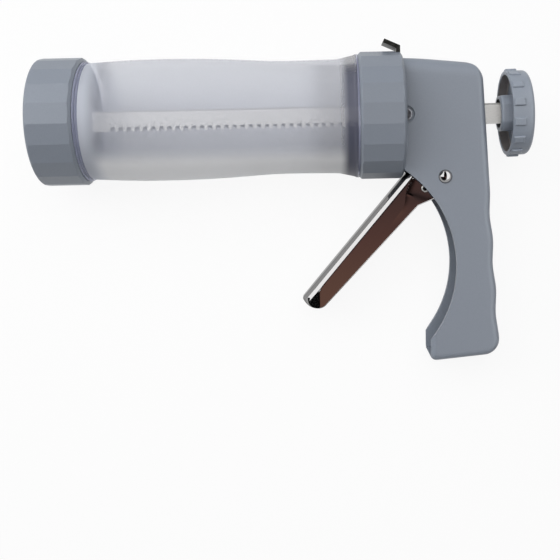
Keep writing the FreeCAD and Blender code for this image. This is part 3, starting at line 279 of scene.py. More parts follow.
def frosted_wall(name, colours, covers, rough, grain):
    """The barrel's outside: frosted, hazy at the cap, painted lighter low down for light from the paper
    below, and painted dark at the flare for the collar's shade.

    colours and covers (how much of what is behind is hidden) are for the body, low, haze and flare.
    """
    body, low, haze, flare = colours
    mat, tree, shader, base = wall_plastic(name, body, rough, grain)
    place = tool_distance(tree, (1, 0, 0))
    depth = tool_distance(tree, (0, 1, 0))
    at_haze = span(tree, place, *HAZE)
    # Painted light low down and painted shade at the flare.
    base = blend(tree, span(tree, depth, *LOW_PAINTED_LIGHT), base, low)
    base = blend(tree, at_haze, base, haze)
    tree.links.new(blend(tree, span(tree, place, *FLARE), base, flare), shader.inputs["Base Color"])
    # Seen at a slant the wall is thicker, so it hides more low down, and less where the flare's painted shade
    # fades.
    slant = tree.nodes.new("ShaderNodeLayerWeight").outputs["Facing"]
    at_low = product(tree, span(tree, slant, *LOW_SLANT), span(tree, depth, *LOW_HIDING))
    at_flare = product(tree, span(tree, place, *FLARE_HIDING), span(tree, slant, *FLARE_SLANT))
    cover = blend_value(tree, at_low, covers[0], covers[1])
    cover = blend_value(tree, at_haze, cover, covers[2])
    tree.links.new(blend_value(tree, at_flare, cover, covers[3]), shader.inputs["Alpha"])
    return mat


# Painted shade on the rod: dark marks at its tooth gaps, where the gullets lie in shade, and its sides
# painted dark.
GAP_MIDDLE = 0.3                  # middle of a gap, as a part of the pitch
GAP_SHADE_EDGE = (0.34, 0.12)          # distance from that middle, in pitches, where a gap's painted shade begins and is full
GAP_SHADE_DEPTH = (-2.6, -3.3)         # y where a gap's painted shade begins and is full
GAP_SHADE_END = 0.2                    # stretch in which the painted gap shade stops before the first and after the last tooth
BROAD_FACE = (0.5, 0.9)           # a normal's part along z: below these a side painted dark as shade, above a bright face


def rod_steel(name, colour, painted_shade_colour):
    """Brushed flat bar: its two broad faces are bright; its sides and the edges of its tooth gaps are painted
    dark as shade.
    """
    mat, tree, shader = new_material(name)
    lines = noise(tree, scale=500.0, stretch=(1.0, 12.0, 12.0))
    surface = tree.nodes.new("ShaderNodeNewGeometry")
    upright = share_along(tree, surface.outputs["Normal"], tool_way((0, 0, 1)))
    broad = span(tree, number(tree, "ABSOLUTE", upright), *BROAD_FACE)
    place = tool_distance(tree, (1, 0, 0))
    after_first = span(tree, place, FIRST_TOOTH - GAP_SHADE_END, FIRST_TOOTH)
    before_end = span(tree, place, TEETH_END, TEETH_END - GAP_SHADE_END)
    pitches = number(tree, "DIVIDE", number(tree, "SUBTRACT", place, FIRST_TOOTH), TOOTH_PITCH)
    from_middle = number(tree, "SUBTRACT", number(tree, "FRACT", pitches), GAP_MIDDLE)
    # Painted shade: darker at each tooth gap on the broad face.
    gap_shade = span(tree, number(tree, "ABSOLUTE", from_middle), *GAP_SHADE_EDGE)
    gap_shade = product(tree, gap_shade, span(tree, tool_distance(tree, (0, 1, 0)), *GAP_SHADE_DEPTH))
    gap_shade = product(tree, gap_shade, product(tree, after_first, before_end))
    face = blend(tree, gap_shade, flecked(tree, lines, colour, spread=0.06), painted_shade_colour)
    # Painted shade: the sides darker than the broad faces.
    tree.links.new(blend(tree, broad, painted_shade_colour, face), shader.inputs["Base Color"])
    shader.inputs["Metallic"].default_value = 0.1
    shader.inputs["Roughness"].default_value = 0.42
    bump(tree, shader, lines, strength=0.05, distance=0.00003)
    return mat


def frosted_bore(name, colour, dim, alpha, rough, grain):
    """The barrel's inside, dimmer and less clear towards the collar; alpha is (clear, shaded)."""
    mat, tree, shader, base = wall_plastic(name, colour, rough, grain)
    shaded = span(tree, tool_distance(tree, (1, 0, 0)), *BORE_SHADE)
    tree.links.new(blend(tree, shaded, base, dim), shader.inputs["Base Color"])
    tree.links.new(span(tree, shaded, 0.0, 1.0, *alpha), shader.inputs["Alpha"])
    return mat


GREY = (0.215, 0.243, 0.290)
EDGE = 0.0004                     # soft edge of the moulded parts, in metres
BRUSHED = (1.0, 1.0, 8.0)         # stretch of the noise on brushed steel
looks = {
    "ring": plastic("ring_plastic", GREY, 0.42, edge=EDGE),
    # Painted light: the body and the knob are the rings' grey plastic made lighter, standing in for more
    # light on them.
    "body": plastic("body_plastic", shade(GREY, 1.06), 0.46, edge=EDGE),
    "knob": plastic("knob_plastic", shade(GREY, 1.22), 0.42, edge=EDGE / 2),
    # The barrel's low colour is painted light from the paper below, its flare colour painted shade of the
    # collar.
    "barrel": frosted_wall(
        "frosted_wall",
        colours=((0.61, 0.64, 0.74), (0.96, 0.965, 0.98), (0.64, 0.675, 0.76), (0.055, 0.06, 0.10)),
        covers=(0.34, 0.76, 0.68, 0.80), rough=0.46, grain=0.1,
    ),
    "bore": frosted_bore(
        "frosted_bore", (0.66, 0.68, 0.74), dim=(0.22, 0.20, 0.18), alpha=(0.03, 0.24), rough=0.5, grain=0.05,
    ),
    "lip": see_through("clear_lip", (0.42, 0.45, 0.62), alpha=0.5, rough=0.12, grain=0.02),
    "disc": plastic("disc_plastic", (0.78, 0.76, 0.66), 0.4),
    "piston": plastic("piston_plastic", (0.05, 0.052, 0.065), 0.4),
    "seal": plastic("seal_rubber", (0.02, 0.02, 0.02), 0.6),
    "nylon": plastic("white_nylon", (0.7, 0.7, 0.68), 0.45),
    "chrome": metal("chrome_plate", (0.30, 0.295, 0.295), 0.07, spread=0.01, relief=0.01, rim=0.4),
    "bright": metal("bright_steel", (0.62, 0.62, 0.60), 0.35, metallic=0.6),
    "screw": metal("screw_steel", (0.16, 0.165, 0.18), 0.4),
    "tab": metal("tab_steel", (0.038, 0.038, 0.035), 0.42, BRUSHED, 400.0, relief=0.15, spread=0.35),
    # Painted shade: the cup's inner wall is the knob's plastic made a dark warm brown, standing in for its
    # shade and warm inter-reflection.
    "cup_painted_shade": plastic("knob_inside_painted_shade", (0.25, 0.225, 0.215), 0.5),
    # Painted shade: near black put in the knob's mouth and the eyelet's bore, where there is only shade.
    "shade": plastic("painted_hollow_shade", (0.02, 0.02, 0.022), 0.6),
    # The rod's second colour is the painted shade of its sides and tooth gaps.
    "rod": rod_steel("rod_steel", (0.86, 0.845, 0.815), (0.05, 0.05, 0.055)),
    "pin": metal("pin_steel", (0.6, 0.59, 0.58), 0.25),
    "pawl": metal("pawl_steel", (0.25, 0.25, 0.245), 0.35, BRUSHED, 400.0, relief=0.1, spread=0.2),
    "spring": metal("spring_wire", (0.45, 0.45, 0.46), 0.3),
}
NODE_LOOKS = {
    "front_cap": "ring", "collar": "ring", "housing": "body", "pull_knob": "knob", "barrel": "barrel",
    "forming_disc": "disc", "piston_head": "piston", "piston_seal": "seal", "piston_pin": "pin",
    "rack_rod": "rod", "knob_pin": "pin", "collar_screws": "screw", "rod_bush": "nylon",
    "pivot_pin": "chrome", "pivot_washers": "nylon", "trigger": "chrome", "trigger_eyelet": "pin",
    "trigger_spring": "spring", "drive_pawl": "pawl", "pawl_pin": "pin", "pawl_spring": "spring",
    "brake_plate": "tab", "brake_spring": "spring",
}
for node_name, look in NODE_LOOKS.items():
    mesh = nodes[node_name].data
    mesh.materials.clear()
    mesh.materials.append(looks[look])


# ---------------------------------------------------------------- mesh helpers
SHARP = 30                        # degrees from which an edge is kept sharp, except on the trigger


def add_object(name, mesh, body, hidden_nodes, materials):
    """Place a mesh drawn in the tool frame, ride it on a body and hide the nodes it stands for."""
    mesh.transform(TOOL)
    for material in materials:
        mesh.materials.append(material)
    obj = bpy.data.objects.new(name, mesh)
    bpy.context.scene.collection.objects.link(obj)
    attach(obj, body)
    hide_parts(*hidden_nodes)


def polar(centre, radius, degrees):
    """Point at a distance and a direction from a centre."""
    angle = math.radians(degrees)
    return (centre[0] + radius * math.cos(angle), centre[1] + radius * math.sin(angle))


def arc_points(a, b, c, count):
    """Points on the circle through a, b and c, from a to c, without a itself."""
    ax, ay, bx, by, cx, cy = *a, *b, *c
    d = 2 * (ax * (by - cy) + bx * (cy - ay) + cx * (ay - by))
    a2, b2, c2 = ax * ax + ay * ay, bx * bx + by * by, cx * cx + cy * cy
    ux = (a2 * (by - cy) + b2 * (cy - ay) + c2 * (ay - by)) / d
    uy = (a2 * (cx - bx) + b2 * (ax - cx) + c2 * (bx - ax)) / d
    radius = math.hypot(ax - ux, ay - uy)
    start = math.atan2(ay - uy, ax - ux)
    middle = (math.atan2(by - uy, bx - ux) - start) % (2 * math.pi)
    sweep = (math.atan2(cy - uy, cx - ux) - start) % (2 * math.pi)
    if middle > sweep:
        sweep -= 2 * math.pi
    return [
        (ux + radius * math.cos(start + sweep * k / count), uy + radius * math.sin(start + sweep * k / count))
        for k in range(1, count + 1)
    ]


def line_points(a, b, count):
    """Points on a straight line from a to b, without a itself."""
    return [(a[0] + (b[0] - a[0]) * k / count, a[1] + (b[1] - a[1]) * k / count) for k in range(1, count + 1)]


def smooth_curve(spots, step):
    """Natural cubic spline through (x, y) spots, sampled about every step in x."""
    count = len(spots) - 1
    gaps = [spots[k + 1][0] - spots[k][0] for k in range(count)]
    rises = [(spots[k + 1][1] - spots[k][1]) / gaps[k] for k in range(count)]
    bends = [0.0] * (count + 1)
    ratios, values = [0.0] * (count + 1), [0.0] * (count + 1)
    for k in range(1, count):
        pivot = 2 * (gaps[k - 1] + gaps[k]) - gaps[k - 1] * ratios[k - 1]
        ratios[k] = gaps[k] / pivot
        values[k] = (6 * (rises[k] - rises[k - 1]) - gaps[k - 1] * values[k - 1]) / pivot
    for k in range(count - 1, 0, -1):
        bends[k] = values[k] - ratios[k] * bends[k + 1]
    points = []
    for k in range(count):
        parts = max(1, round(gaps[k] / step))
        for j in range(parts):
            t = gaps[k] * j / parts
            slope = rises[k] - gaps[k] * (2 * bends[k] + bends[k + 1]) / 6
            bend = bends[k] / 2 + t * (bends[k + 1] - bends[k]) / (6 * gaps[k])
            points.append((spots[k][0] + t, spots[k][1] + t * (slope + t * bend)))
    return points + [spots[-1]]


def shade_by_angle(mesh, degrees):
    """Smooth shading that keeps the edges sharper than the given angle."""
    limit = math.radians(degrees)
    work = bmesh.new()
    work.from_mesh(mesh)
    for edge in work.edges:
        edge.smooth = len(edge.link_faces) != 2 or edge.calc_face_angle(0) < limit
    for face in work.faces:
        face.smooth = True
    work.to_mesh(mesh)
    work.free()


def lathe(name, outline, steps, zones=()):
    """Closed (x, radius) outline turned about the barrel; zones give (first, last, slot) by corner."""
    points, faces = [], []
    count = len(outline)
    for k in range(steps):
        angle = 2 * math.pi * k / steps
        points += [(x, r * math.sin(angle), r * math.cos(angle)) for x, r in outline]
    for k in range(steps):
        here, there = k * count, (k + 1) % steps * count
        for j in range(count):
            after = (j + 1) % count
            faces.append((here + j, there + j, there + after, here + after))
    mesh = bpy.data.meshes.new(name)
    mesh.from_pydata(points, [], faces)
    slots = [0] * count
    for first, last, slot in zones:
        for j in range(first, last):
            slots[j] = slot
    for polygon in mesh.polygons:
        polygon.material_index = slots[polygon.index % count]
    shade_by_angle(mesh, SHARP)
    return mesh


# ---------------------------------------------------------------- barrel
BARREL_STEPS = 192
BORE_STEP = -12                   # spacing of the bore's points, which only keep its faces short


def make_barrel():
    """The wall with its two lips, drawn from the outlet end along the outside and back through the bore."""
    front_lip = [
        (-156.7, BARREL_SPIGOT), (-156.7, 29.3), (-156.5, 29.6), (-156.1, FRONT_LIP_RADIUS),
        (-155.7, 29.6), (-155.45, 29.3), (-155.3, 29.1), (-155.1, 29.1), (-154.85, 29.2),
        (-154.6, 29.15), (-154.4, 28.98), (-154.2, 28.85),
    ]
    rear_lip = [
        (-24.6, 29.9), (-23.6, 30.28), (-23.3, 30.45), (-22.9, 30.56), (-22.6, REAR_LIP_RADIUS),
        (-22.2, REAR_LIP_RADIUS), (-22.0, 30.5), (-22.0, BARREL_SPIGOT),
    ]
    # Between the widest and the narrowest place: how far along, and how much of the fall is still to come.
    middle = [
        (BULGE[0] + along * (WAIST[0] - BULGE[0]), WAIST[1] + share * (BULGE[1] - WAIST[1]))
        for along, share in ((0.33, 0.83), (0.56, 0.5), (0.79, 0.09))
    ]
    front_neck = (CAP_REAR + 2.2, FRONT_NECK_RADIUS)
    quarter = ((front_neck[0] + BULGE[0]) / 2, BULGE[1] - 0.25 * (BULGE[1] - FRONT_NECK_RADIUS))
    flare = [((WAIST[0] + FLARE_START[0]) / 2, WAIST[1] + 0.12), FLARE_START, (-27.2, 29.0), rear_lip[1]]
    curve = smooth_curve([front_neck, quarter, BULGE] + middle + [WAIST] + flare, 3.0)[1:-2]
    outline = [
        (BARREL_FRONT, BARREL_BORE), (BARREL_FRONT, BARREL_SPIGOT - END_CHAMFER),
        (BARREL_FRONT + END_CHAMFER, BARREL_SPIGOT),
    ]
    first_lip = len(outline)
    outline += front_lip
    end_lip = len(outline)
    outline += curve
    first_rear = len(outline)
    outline += rear_lip
    end_rear = len(outline)
    outline += [
        (BARREL_END - END_CHAMFER, BARREL_SPIGOT), (BARREL_END, BARREL_SPIGOT - END_CHAMFER),
        (BARREL_END, BARREL_BORE),
    ]
    first_bore = len(outline) - 1
    outline += [(x, BARREL_BORE) for x in range(-20, -170, BORE_STEP)]
    zones = [(first_lip, end_lip - 1, 1), (first_rear + 3, end_rear - 1, 1), (first_bore, len(outline), 2)]
    mesh = lathe("barrel_wall", outline, BARREL_STEPS, zones)
    add_object("barrel_wall", mesh, "barrel", ["barrel"], [looks["barrel"], looks["lip"], looks["bore"]])


make_barrel()


# ---------------------------------------------------------------- trigger
# Crease where the trigger's flange steps down to its ears, as (-y, x), and the one below the eyelet.
CREASE_SPOTS = [(26.0, 5.5), (34.4, 2.0), (38.8, 0.5), (43.6, -0.1), (47.5, -2.1), (51.3, -5.1), (55.7, -8.1)]
CREASE = [(x, -y) for y, x in smooth_curve(CREASE_SPOTS, 0.9)]
CREASE_DEPTH = 0.28
CREASE_REACH = 2.6                # distance in which most of the step is done
BRANCH = [(0.9, -38.9), (4.4, -40.3), (9.7, -42.9), (16.0, -46.0)]
BRANCH_DEPTH = 0.11
BRANCH_REACH = 1.6
ON_CREASE = 0.01                  # vertices nearer to a crease than this are on it
TIP_DROP = 2.6
TIP_DROP_START = -43.0            # x where the flange begins to fall to the tip
TIP_DROP_REACH = 8.3
# Tilt of the front edge's skin, in degrees, against the part of its round from the outside in.
EDGE_TILTS = [(0.0, 80.0), (0.05, 70.0), (0.36, 70.0), (0.42, 23.0), (0.83, 23.0), (0.88, 9.0), (1.0, 3.0)]
EDGE_STEPS = 28
OPEN_EDGE_ROUND = 0.5             # where the sheet ends without a front wall
ROUND_FADE = 2.2                  # how quickly the round falls to that beyond the front face
NOSE_FRONT = polar(TIP_NOSE, 6.2, 158)     # on the arc from the front face to the nose
NOSE_REAR = polar(TIP_NOSE, 2.6, 9)        # on the arc from the nose to the tip's back
TRIGGER_SHARP = 40                # degrees from which its edges are kept sharp
FRONT_STEPS = 30
REAR_STEPS = 40
WALL_LEVELS = 6
PIVOT_HOLE = 2.3
PIN_HOLE = 1.55                   # for the pawl pin and the eyelet
HOLE_STEPS = 24
GRID = 0.6                        # spacing of the inner points that carry the relief
CREASE_END = 0.5                  # creases stop this far from the plate's rim
CLEAR = 0.3 * GRID                # inner points keep this far from holes and creases
CLEAR_RIM = 0.45 * GRID           # and this far from the rim


def along_front(distance, offset):
    """Point on a line parallel to the trigger's front face, from beside the pivot to the tip."""
    foot = polar(PIVOT, offset, TRIGGER_ANGLE - 90)
    return polar(foot, distance, TRIGGER_ANGLE)


def beside(route, x, y):
    """Distance to a route, the part of it reached there, and the side: +1 to its left."""
    best = (1e9, 0.0, 1.0)
    for k, (a, b) in enumerate(zip(route, route[1:])):
        dx, dy = b[0] - a[0], b[1] - a[1]
        t = max(0.0, min(1.0, ((x - a[0]) * dx + (y - a[1]) * dy) / (dx * dx + dy * dy)))
        away = math.hypot(x - a[0] - t * dx, y - a[1] - t * dy)
        if away < best[0] - 1e-9:
            side = 1.0 if dx * (y - a[1]) - dy * (x - a[0]) > 0 else -1.0
            best = (away, (k + t) / (len(route) - 1), side)
    return best


def soft(t):
    """Smooth step from 0 to 1."""
    t = max(0.0, min(1.0, t))
    return t * t * (3 - 2 * t)


def settled(away, reach):
    """Share of a step that is done at a distance from its crease."""
    return 1 - math.exp(-away / reach)


def flange_drop(x, y):
    """How far the side plate lies below its full width: the ears' creases and the rounded tip."""
    away, part, side = beside(CREASE, x, y)
    drop = 0.0
    if side > 0:
        drop += CREASE_DEPTH * (1 - part ** 3) * settled(away, CREASE_REACH)
        away_branch, _, side_branch = beside(BRANCH, x, y)
        if side_branch > 0:
            drop += BRANCH_DEPTH * settled(away_branch, BRANCH_REACH) * settled(away, BRANCH_REACH)
    if x < TIP_DROP_START:
        drop += TIP_DROP * ((TIP_DROP_START - x) / TIP_DROP_REACH) ** 1.5
    return drop


def edge_profile():
    """(inset, drop) stations of the edge round for a radius of 1, from the outside in."""
    tilts = []
    for k in range(EDGE_STEPS):
        place = (k + 0.5) / EDGE_STEPS
        for (u0, t0), (u1, t1) in zip(EDGE_TILTS, EDGE_TILTS[1:]):
            if u0 <= place <= u1:
                tilts.append(math.tan(math.radians(t0 + (t1 - t0) * (place - u0) / (u1 - u0))))
    stations = [(1.0, 0.0)]
    for k in range(EDGE_STEPS, 0, -1):
        stations.append(((k - 1) / EDGE_STEPS, stations[-1][1] + tilts[k - 1] / EDGE_STEPS))
    return stations[::-1]


def on_crease(x, y):
    """Whether a point lies on one of the two creases."""
    return min(beside(route, x, y)[0] for route in (CREASE, BRANCH)) < ON_CREASE


def crease_edges(mesh):
    """Keep the creases crisp in the shading."""
    work = bmesh.new()
    work.from_mesh(mesh)
    for edge in work.edges:
        if all(on_crease(v.co.x, v.co.y) for v in edge.verts):
            edge.smooth = False
    work.to_mesh(mesh)
    work.free()


def trigger_outline():
    """Side outline from the top of the front face round the tip and back along the open side.

    Returns its points, the edge round at each point and how many of the points have the front wall.
    """
    top = along_front(0, TRIGGER_OFFSET)
    # The front face ends in a small arc through these three places.
    front = along_front(TRIGGER_LENGTH - 1.0, TRIGGER_OFFSET)
    bend = along_front(TRIGGER_LENGTH - 0.1, TRIGGER_OFFSET - 0.15)
    corner = along_front(TRIGGER_LENGTH + 0.2, TRIGGER_OFFSET - 0.8)
    walled = [top] + line_points(top, front, FRONT_STEPS) + arc_points(front, bend, corner, 3)
    walled += arc_points(corner, NOSE_FRONT, TIP_NOSE, 10) + arc_points(TIP_NOSE, NOSE_REAR, TIP_BACK, 6)
    hub = [polar(PIVOT, TRIGGER_HUB_RADIUS, a) for a in range(-80, 11, 10)]
    arm = [polar(PAWL_PIN, ARM_END_RADIUS, a) for a in range(-15, 161, 25)]
    rest = line_points(TIP_BACK, TAB_CORNER, REAR_STEPS) + line_points(TAB_CORNER, hub[0], 8) + hub[1:] + arm
    rest += line_points(arm[-1], top, 6)[:-1]
    rounding = []
    last_front = FRONT_STEPS + 1
    for k in range(len(walled)):
        past = max(0, k - last_front) / (len(walled) - 1 - last_front)
        fall = (TRIGGER_EDGE_ROUND - OPEN_EDGE_ROUND) * soft(past * ROUND_FADE)
        rounding.append(TRIGGER_EDGE_ROUND - fall)
    rounding += [OPEN_EDGE_ROUND] * len(rest)
    return walled + rest, rounding, len(walled)


def inward_normals(points):
    """Unit normals into a closed outline that runs anticlockwise or clockwise."""
    area = sum(a[0] * b[1] - b[0] * a[1] for a, b in zip(points, points[1:] + points[:1]))
    turn = 1.0 if area > 0 else -1.0
    normals = []
    for k, here in enumerate(points):
        before, after = points[k - 1], points[(k + 1) % len(points)]
        first = Vector((here[0] - before[0], here[1] - before[1])).normalized()
        second = Vector((after[0] - here[0], after[1] - here[1])).normalized()
        way = first + second
        way = way.normalized() if way.length > 1e-6 else first
        normals.append((-way.y * turn, way.x * turn))
    return normals


def from_rim(rim, x, y):
    """Distance to the nearest point of a rim."""
    return min(math.hypot(x - p[0], y - p[1]) for p in rim)


def fill_plate(rim, holes, routes):
    """Triangles inside a rim, with round holes, creased routes and a grid of inner points for the relief."""
    spots = [Vector(p) for p in rim]
    edges = []
    for route in routes:
        kept = [p for p in route if inside(rim, *p) and from_rim(rim, *p) > CREASE_END]
        edges += [(len(spots) + k, len(spots) + k + 1) for k in range(len(kept) - 1)]
        spots += [Vector(p) for p in kept]
    for centre, radius in holes:
        base = len(spots)
        spots += [Vector(polar(centre, radius, 360.0 * k / HOLE_STEPS)) for k in range(HOLE_STEPS)]
        edges += [(base + k, base + (k + 1) % HOLE_STEPS) for k in range(HOLE_STEPS)]
    low_x, high_x = min(p[0] for p in rim), max(p[0] for p in rim)
    low_y, high_y = min(p[1] for p in rim), max(p[1] for p in rim)
    edges += [(k, (k + 1) % len(rim)) for k in range(len(rim))]
    rows, columns = int((high_y - low_y) / GRID), int((high_x - low_x) / GRID)
    for j in range(rows):
        for i in range(columns):
            x, y = low_x + i * GRID, low_y + j * GRID
            # Away from the tip every second row and column is enough.
            if x > TIP_DROP_START + 1 and (i % 2 or j % 2):
                continue
            clear = all(math.hypot(x - c[0], y - c[1]) > r + CLEAR for c, r in holes)
            clear = clear and all(beside(route, x, y)[0] > CLEAR for route in routes)
            if clear and inside(rim, x, y) and from_rim(rim, x, y) > CLEAR_RIM:
                spots.append(Vector((x, y)))
    points, _, triangles, _, _, _ = delaunay_2d_cdt(spots, edges, [], 0, 1e-5)
    kept = []
    for triangle in triangles:
        x = sum(points[i][0] for i in triangle) / 3
        y = sum(points[i][1] for i in triangle) / 3
        in_hole = any(math.hypot(x - c[0], y - c[1]) < r * 0.99 for c, r in holes)
        if inside(rim, x, y) and not in_hole:
            kept.append(tuple(triangle))
    return [tuple(p) for p in points], kept


def inside(rim, x, y):
    """Whether a point lies inside a closed outline."""
    odd = False
    for a, b in zip(rim, rim[1:] + rim[:1]):
        if (a[1] > y) != (b[1] > y) and x < (b[0] - a[0]) * (y - a[1]) / (b[1] - a[1]) + a[0]:
            odd = not odd
    return odd


def make_trigger():
    """The bent sheet: an outer and an inner skin for each side, the sheet's edge and the front wall."""
    outline, rounding, walled = trigger_outline()
    normals = inward_normals(outline)
    count = len(outline)
    vertices, faces = [], []

    def ring(inset, station):
        """Ring of vertices on one side of the skin; returns its first index."""
        first = len(vertices)
        for k, (x, y) in enumerate(outline):
            radius = max(rounding[k] - inset, 0.0)
            into = (inset if k < walled else 0.0) + radius * station[0]
            z = HALF_TRIGGER - inset - radius * station[1]
            vertices.append((x + normals[k][0] * into, y + normals[k][1] * into, z))
        return first

    def band(low, high, flip):
        """Faces between two rings."""
        for k in range(count):
            n = (k + 1) % count
            quad = (low + k, low + n, high + n, high + k)
            faces.append(quad[::-1] if flip else quad)

    holes = [(PIVOT, PIVOT_HOLE), (PAWL_PIN, PIN_HOLE), (EYELET, PIN_HOLE)]
    skins = {}
    for side in (1, -1):
        for part, inset in (("outer", 0.0), ("inner", SHEET)):
            rings = [ring(inset, station) for station in edge_profile()]
            rim = [vertices[rings[-1] + k][:2] for k in range(count)]
            points, triangles = fill_plate(rim, holes, (CREASE, BRANCH))
            plate = len(vertices)
            vertices.extend((x, y, HALF_TRIGGER - inset) for x, y in points)
            flip = (part == "inner") == (side > 0)
            for low, high in zip(rings, rings[1:]):
                band(low, high, flip)
            for triangle in triangles:
                corners = tuple(plate + k for k in triangle)
                faces.append(corners[::-1] if flip else corners)
            skins[side, part] = rings[0]
            for index in range(rings[0], len(vertices)):
                x, y, z = vertices[index]
                lowered = z - flange_drop(x, y) * min(1.0, z / HALF_TRIGGER)
                vertices[index] = (x, y, side * lowered)
    # The sheet's bare edge along the open stretch, and the front wall outside and inside.
    for side in (1, -1):
        outer, inner = skins[side, "outer"], skins[side, "inner"]
        for k in range(walled - 1, count):
            n = (k + 1) % count
            quad = (outer + k, outer + n, inner + n, inner + k)
            faces.append(quad if side < 0 else quad[::-1])
    for part, flip in (("outer", True), ("inner", False)):
        high, low = skins[1, part], skins[-1, part]
        previous = [high + k for k in range(walled)]
        for j in range(1, WALL_LEVELS + 1):
            if j == WALL_LEVELS:
                current = [low + k for k in range(walled)]
            else:
                current = []
                for k in range(walled):
                    a, b = Vector(vertices[high + k]), Vector(vertices[low + k])
                    current.append(len(vertices))
                    vertices.append(tuple(a.lerp(b, j / WALL_LEVELS)))
            for k in range(walled - 1):
                quad = (previous[k], previous[k + 1], current[k + 1], current[k])
                faces.append(quad if flip else quad[::-1])
            previous = current
    for k in (0, walled - 1):
        quad = (skins[1, "outer"] + k, skins[1, "inner"] + k, skins[-1, "inner"] + k, skins[-1, "outer"] + k)
        faces.append(quad if k else quad[::-1])
    mesh = bpy.data.meshes.new("trigger_sheet")
    mesh.from_pydata(vertices, [], faces)
    work = bmesh.new()
    work.from_mesh(mesh)
    bmesh.ops.remove_doubles(work, verts=work.verts, dist=0.0005)
    bmesh.ops.recalc_face_normals(work, faces=work.faces)
    work.to_mesh(mesh)
    work.free()
    shade_by_angle(mesh, TRIGGER_SHARP)
    crease_edges(mesh)
    add_object("trigger_sheet", mesh, "trigger", ["trigger"], [looks["chrome"]])


make_trigger()


# ---------------------------------------------------------------- knob
KNOB_TILT = math.radians(1.4)     # the knob sits slightly askew on its pin
KNOB_PIN = 54.6
CUP_RIM = 51.4                    # the solid's is 52.0
CUP_FLOOR = 56.4                  # the solid's is 59.8
MOUTH_RADIUS = 7.2                # mouth round the rod, painted dark as shade
MOUTH_DEPTH = 1.6
FLAT_FLOOR = 8.8                  # from the axis to the hub's flats
HALF_FLAT = 3.5
FLAT_EDGE = 0.05                  # radians in which a flat turns into the round
KNOB_STEPS = 128
HUB_STEPS = 96
PAD_FRONT = 0.5                   # from the rim to a grip pad
PAD_REAR = 5.9
PAD_ROOT = 1.0                    # below the knob's skin
PAD_HEIGHT = 0.85
PAD_CHAMFER = 0.34
HALF_PAD = 1.8


def hub_radius(angle):
    """The hub is round with four shallow flats, the first of them on top."""
    turned = (angle + math.pi / 4) % (math.pi / 2) - math.pi / 4
    flat = FLAT_FLOOR / math.cos(turned)
    edge = math.atan2(HALF_FLAT, FLAT_FLOOR)
    return flat + (HUB_RADIUS - flat) * soft((abs(turned) - edge) / FLAT_EDGE)


def hub_shell(work, stations, slots):
    """Skin through (x, size, is_round) stations: a radius, or an inset from the hub's own shape."""
    rings = []
    for x, size, is_round in stations:
        ring = []
        for k in range(HUB_STEPS):
            angle = 2 * math.pi * k / HUB_STEPS
            r = size if is_round else hub_radius(angle) - size
            ring.append(work.verts.new((x, r * math.sin(angle), r * math.cos(angle))))
        rings.append(ring)
    for j, (a, b) in enumerate(zip(rings, rings[1:])):
        for k in range(HUB_STEPS):
            n = (k + 1) % HUB_STEPS
            work.faces.new((a[k], a[n], b[n], b[k])).material_index = slots[j]
    work.faces.new(rings[-1]).material_index = slots[-1]


def grip_pad(work, angle):
    """Raised pad on the rim with chamfered edges."""
    top = KNOB_RADIUS + PAD_HEIGHT
    cosine, sine = math.cos(angle), math.sin(angle)
    rings = []
    for inset, height in ((0.0, KNOB_RADIUS - PAD_ROOT), (0.0, top - PAD_CHAMFER), (PAD_CHAMFER, top)):
        front, rear = CUP_RIM + PAD_FRONT + inset, CUP_RIM + PAD_REAR - inset
        half = HALF_PAD - inset
        ring = []
        for x, y in ((front, -half), (rear, -half), (rear, half), (front, half)):
            ring.append(work.verts.new((x, y * cosine + height * sine, height * cosine - y * sine)))
        rings.append(ring)
    for a, b in zip(rings, rings[1:]):
        for k in range(4):
            n = (k + 1) % 4
            work.faces.new((a[k], a[n], b[n], b[k]))
    work.faces.new(rings[-1])
    work.faces.new(rings[0][::-1])


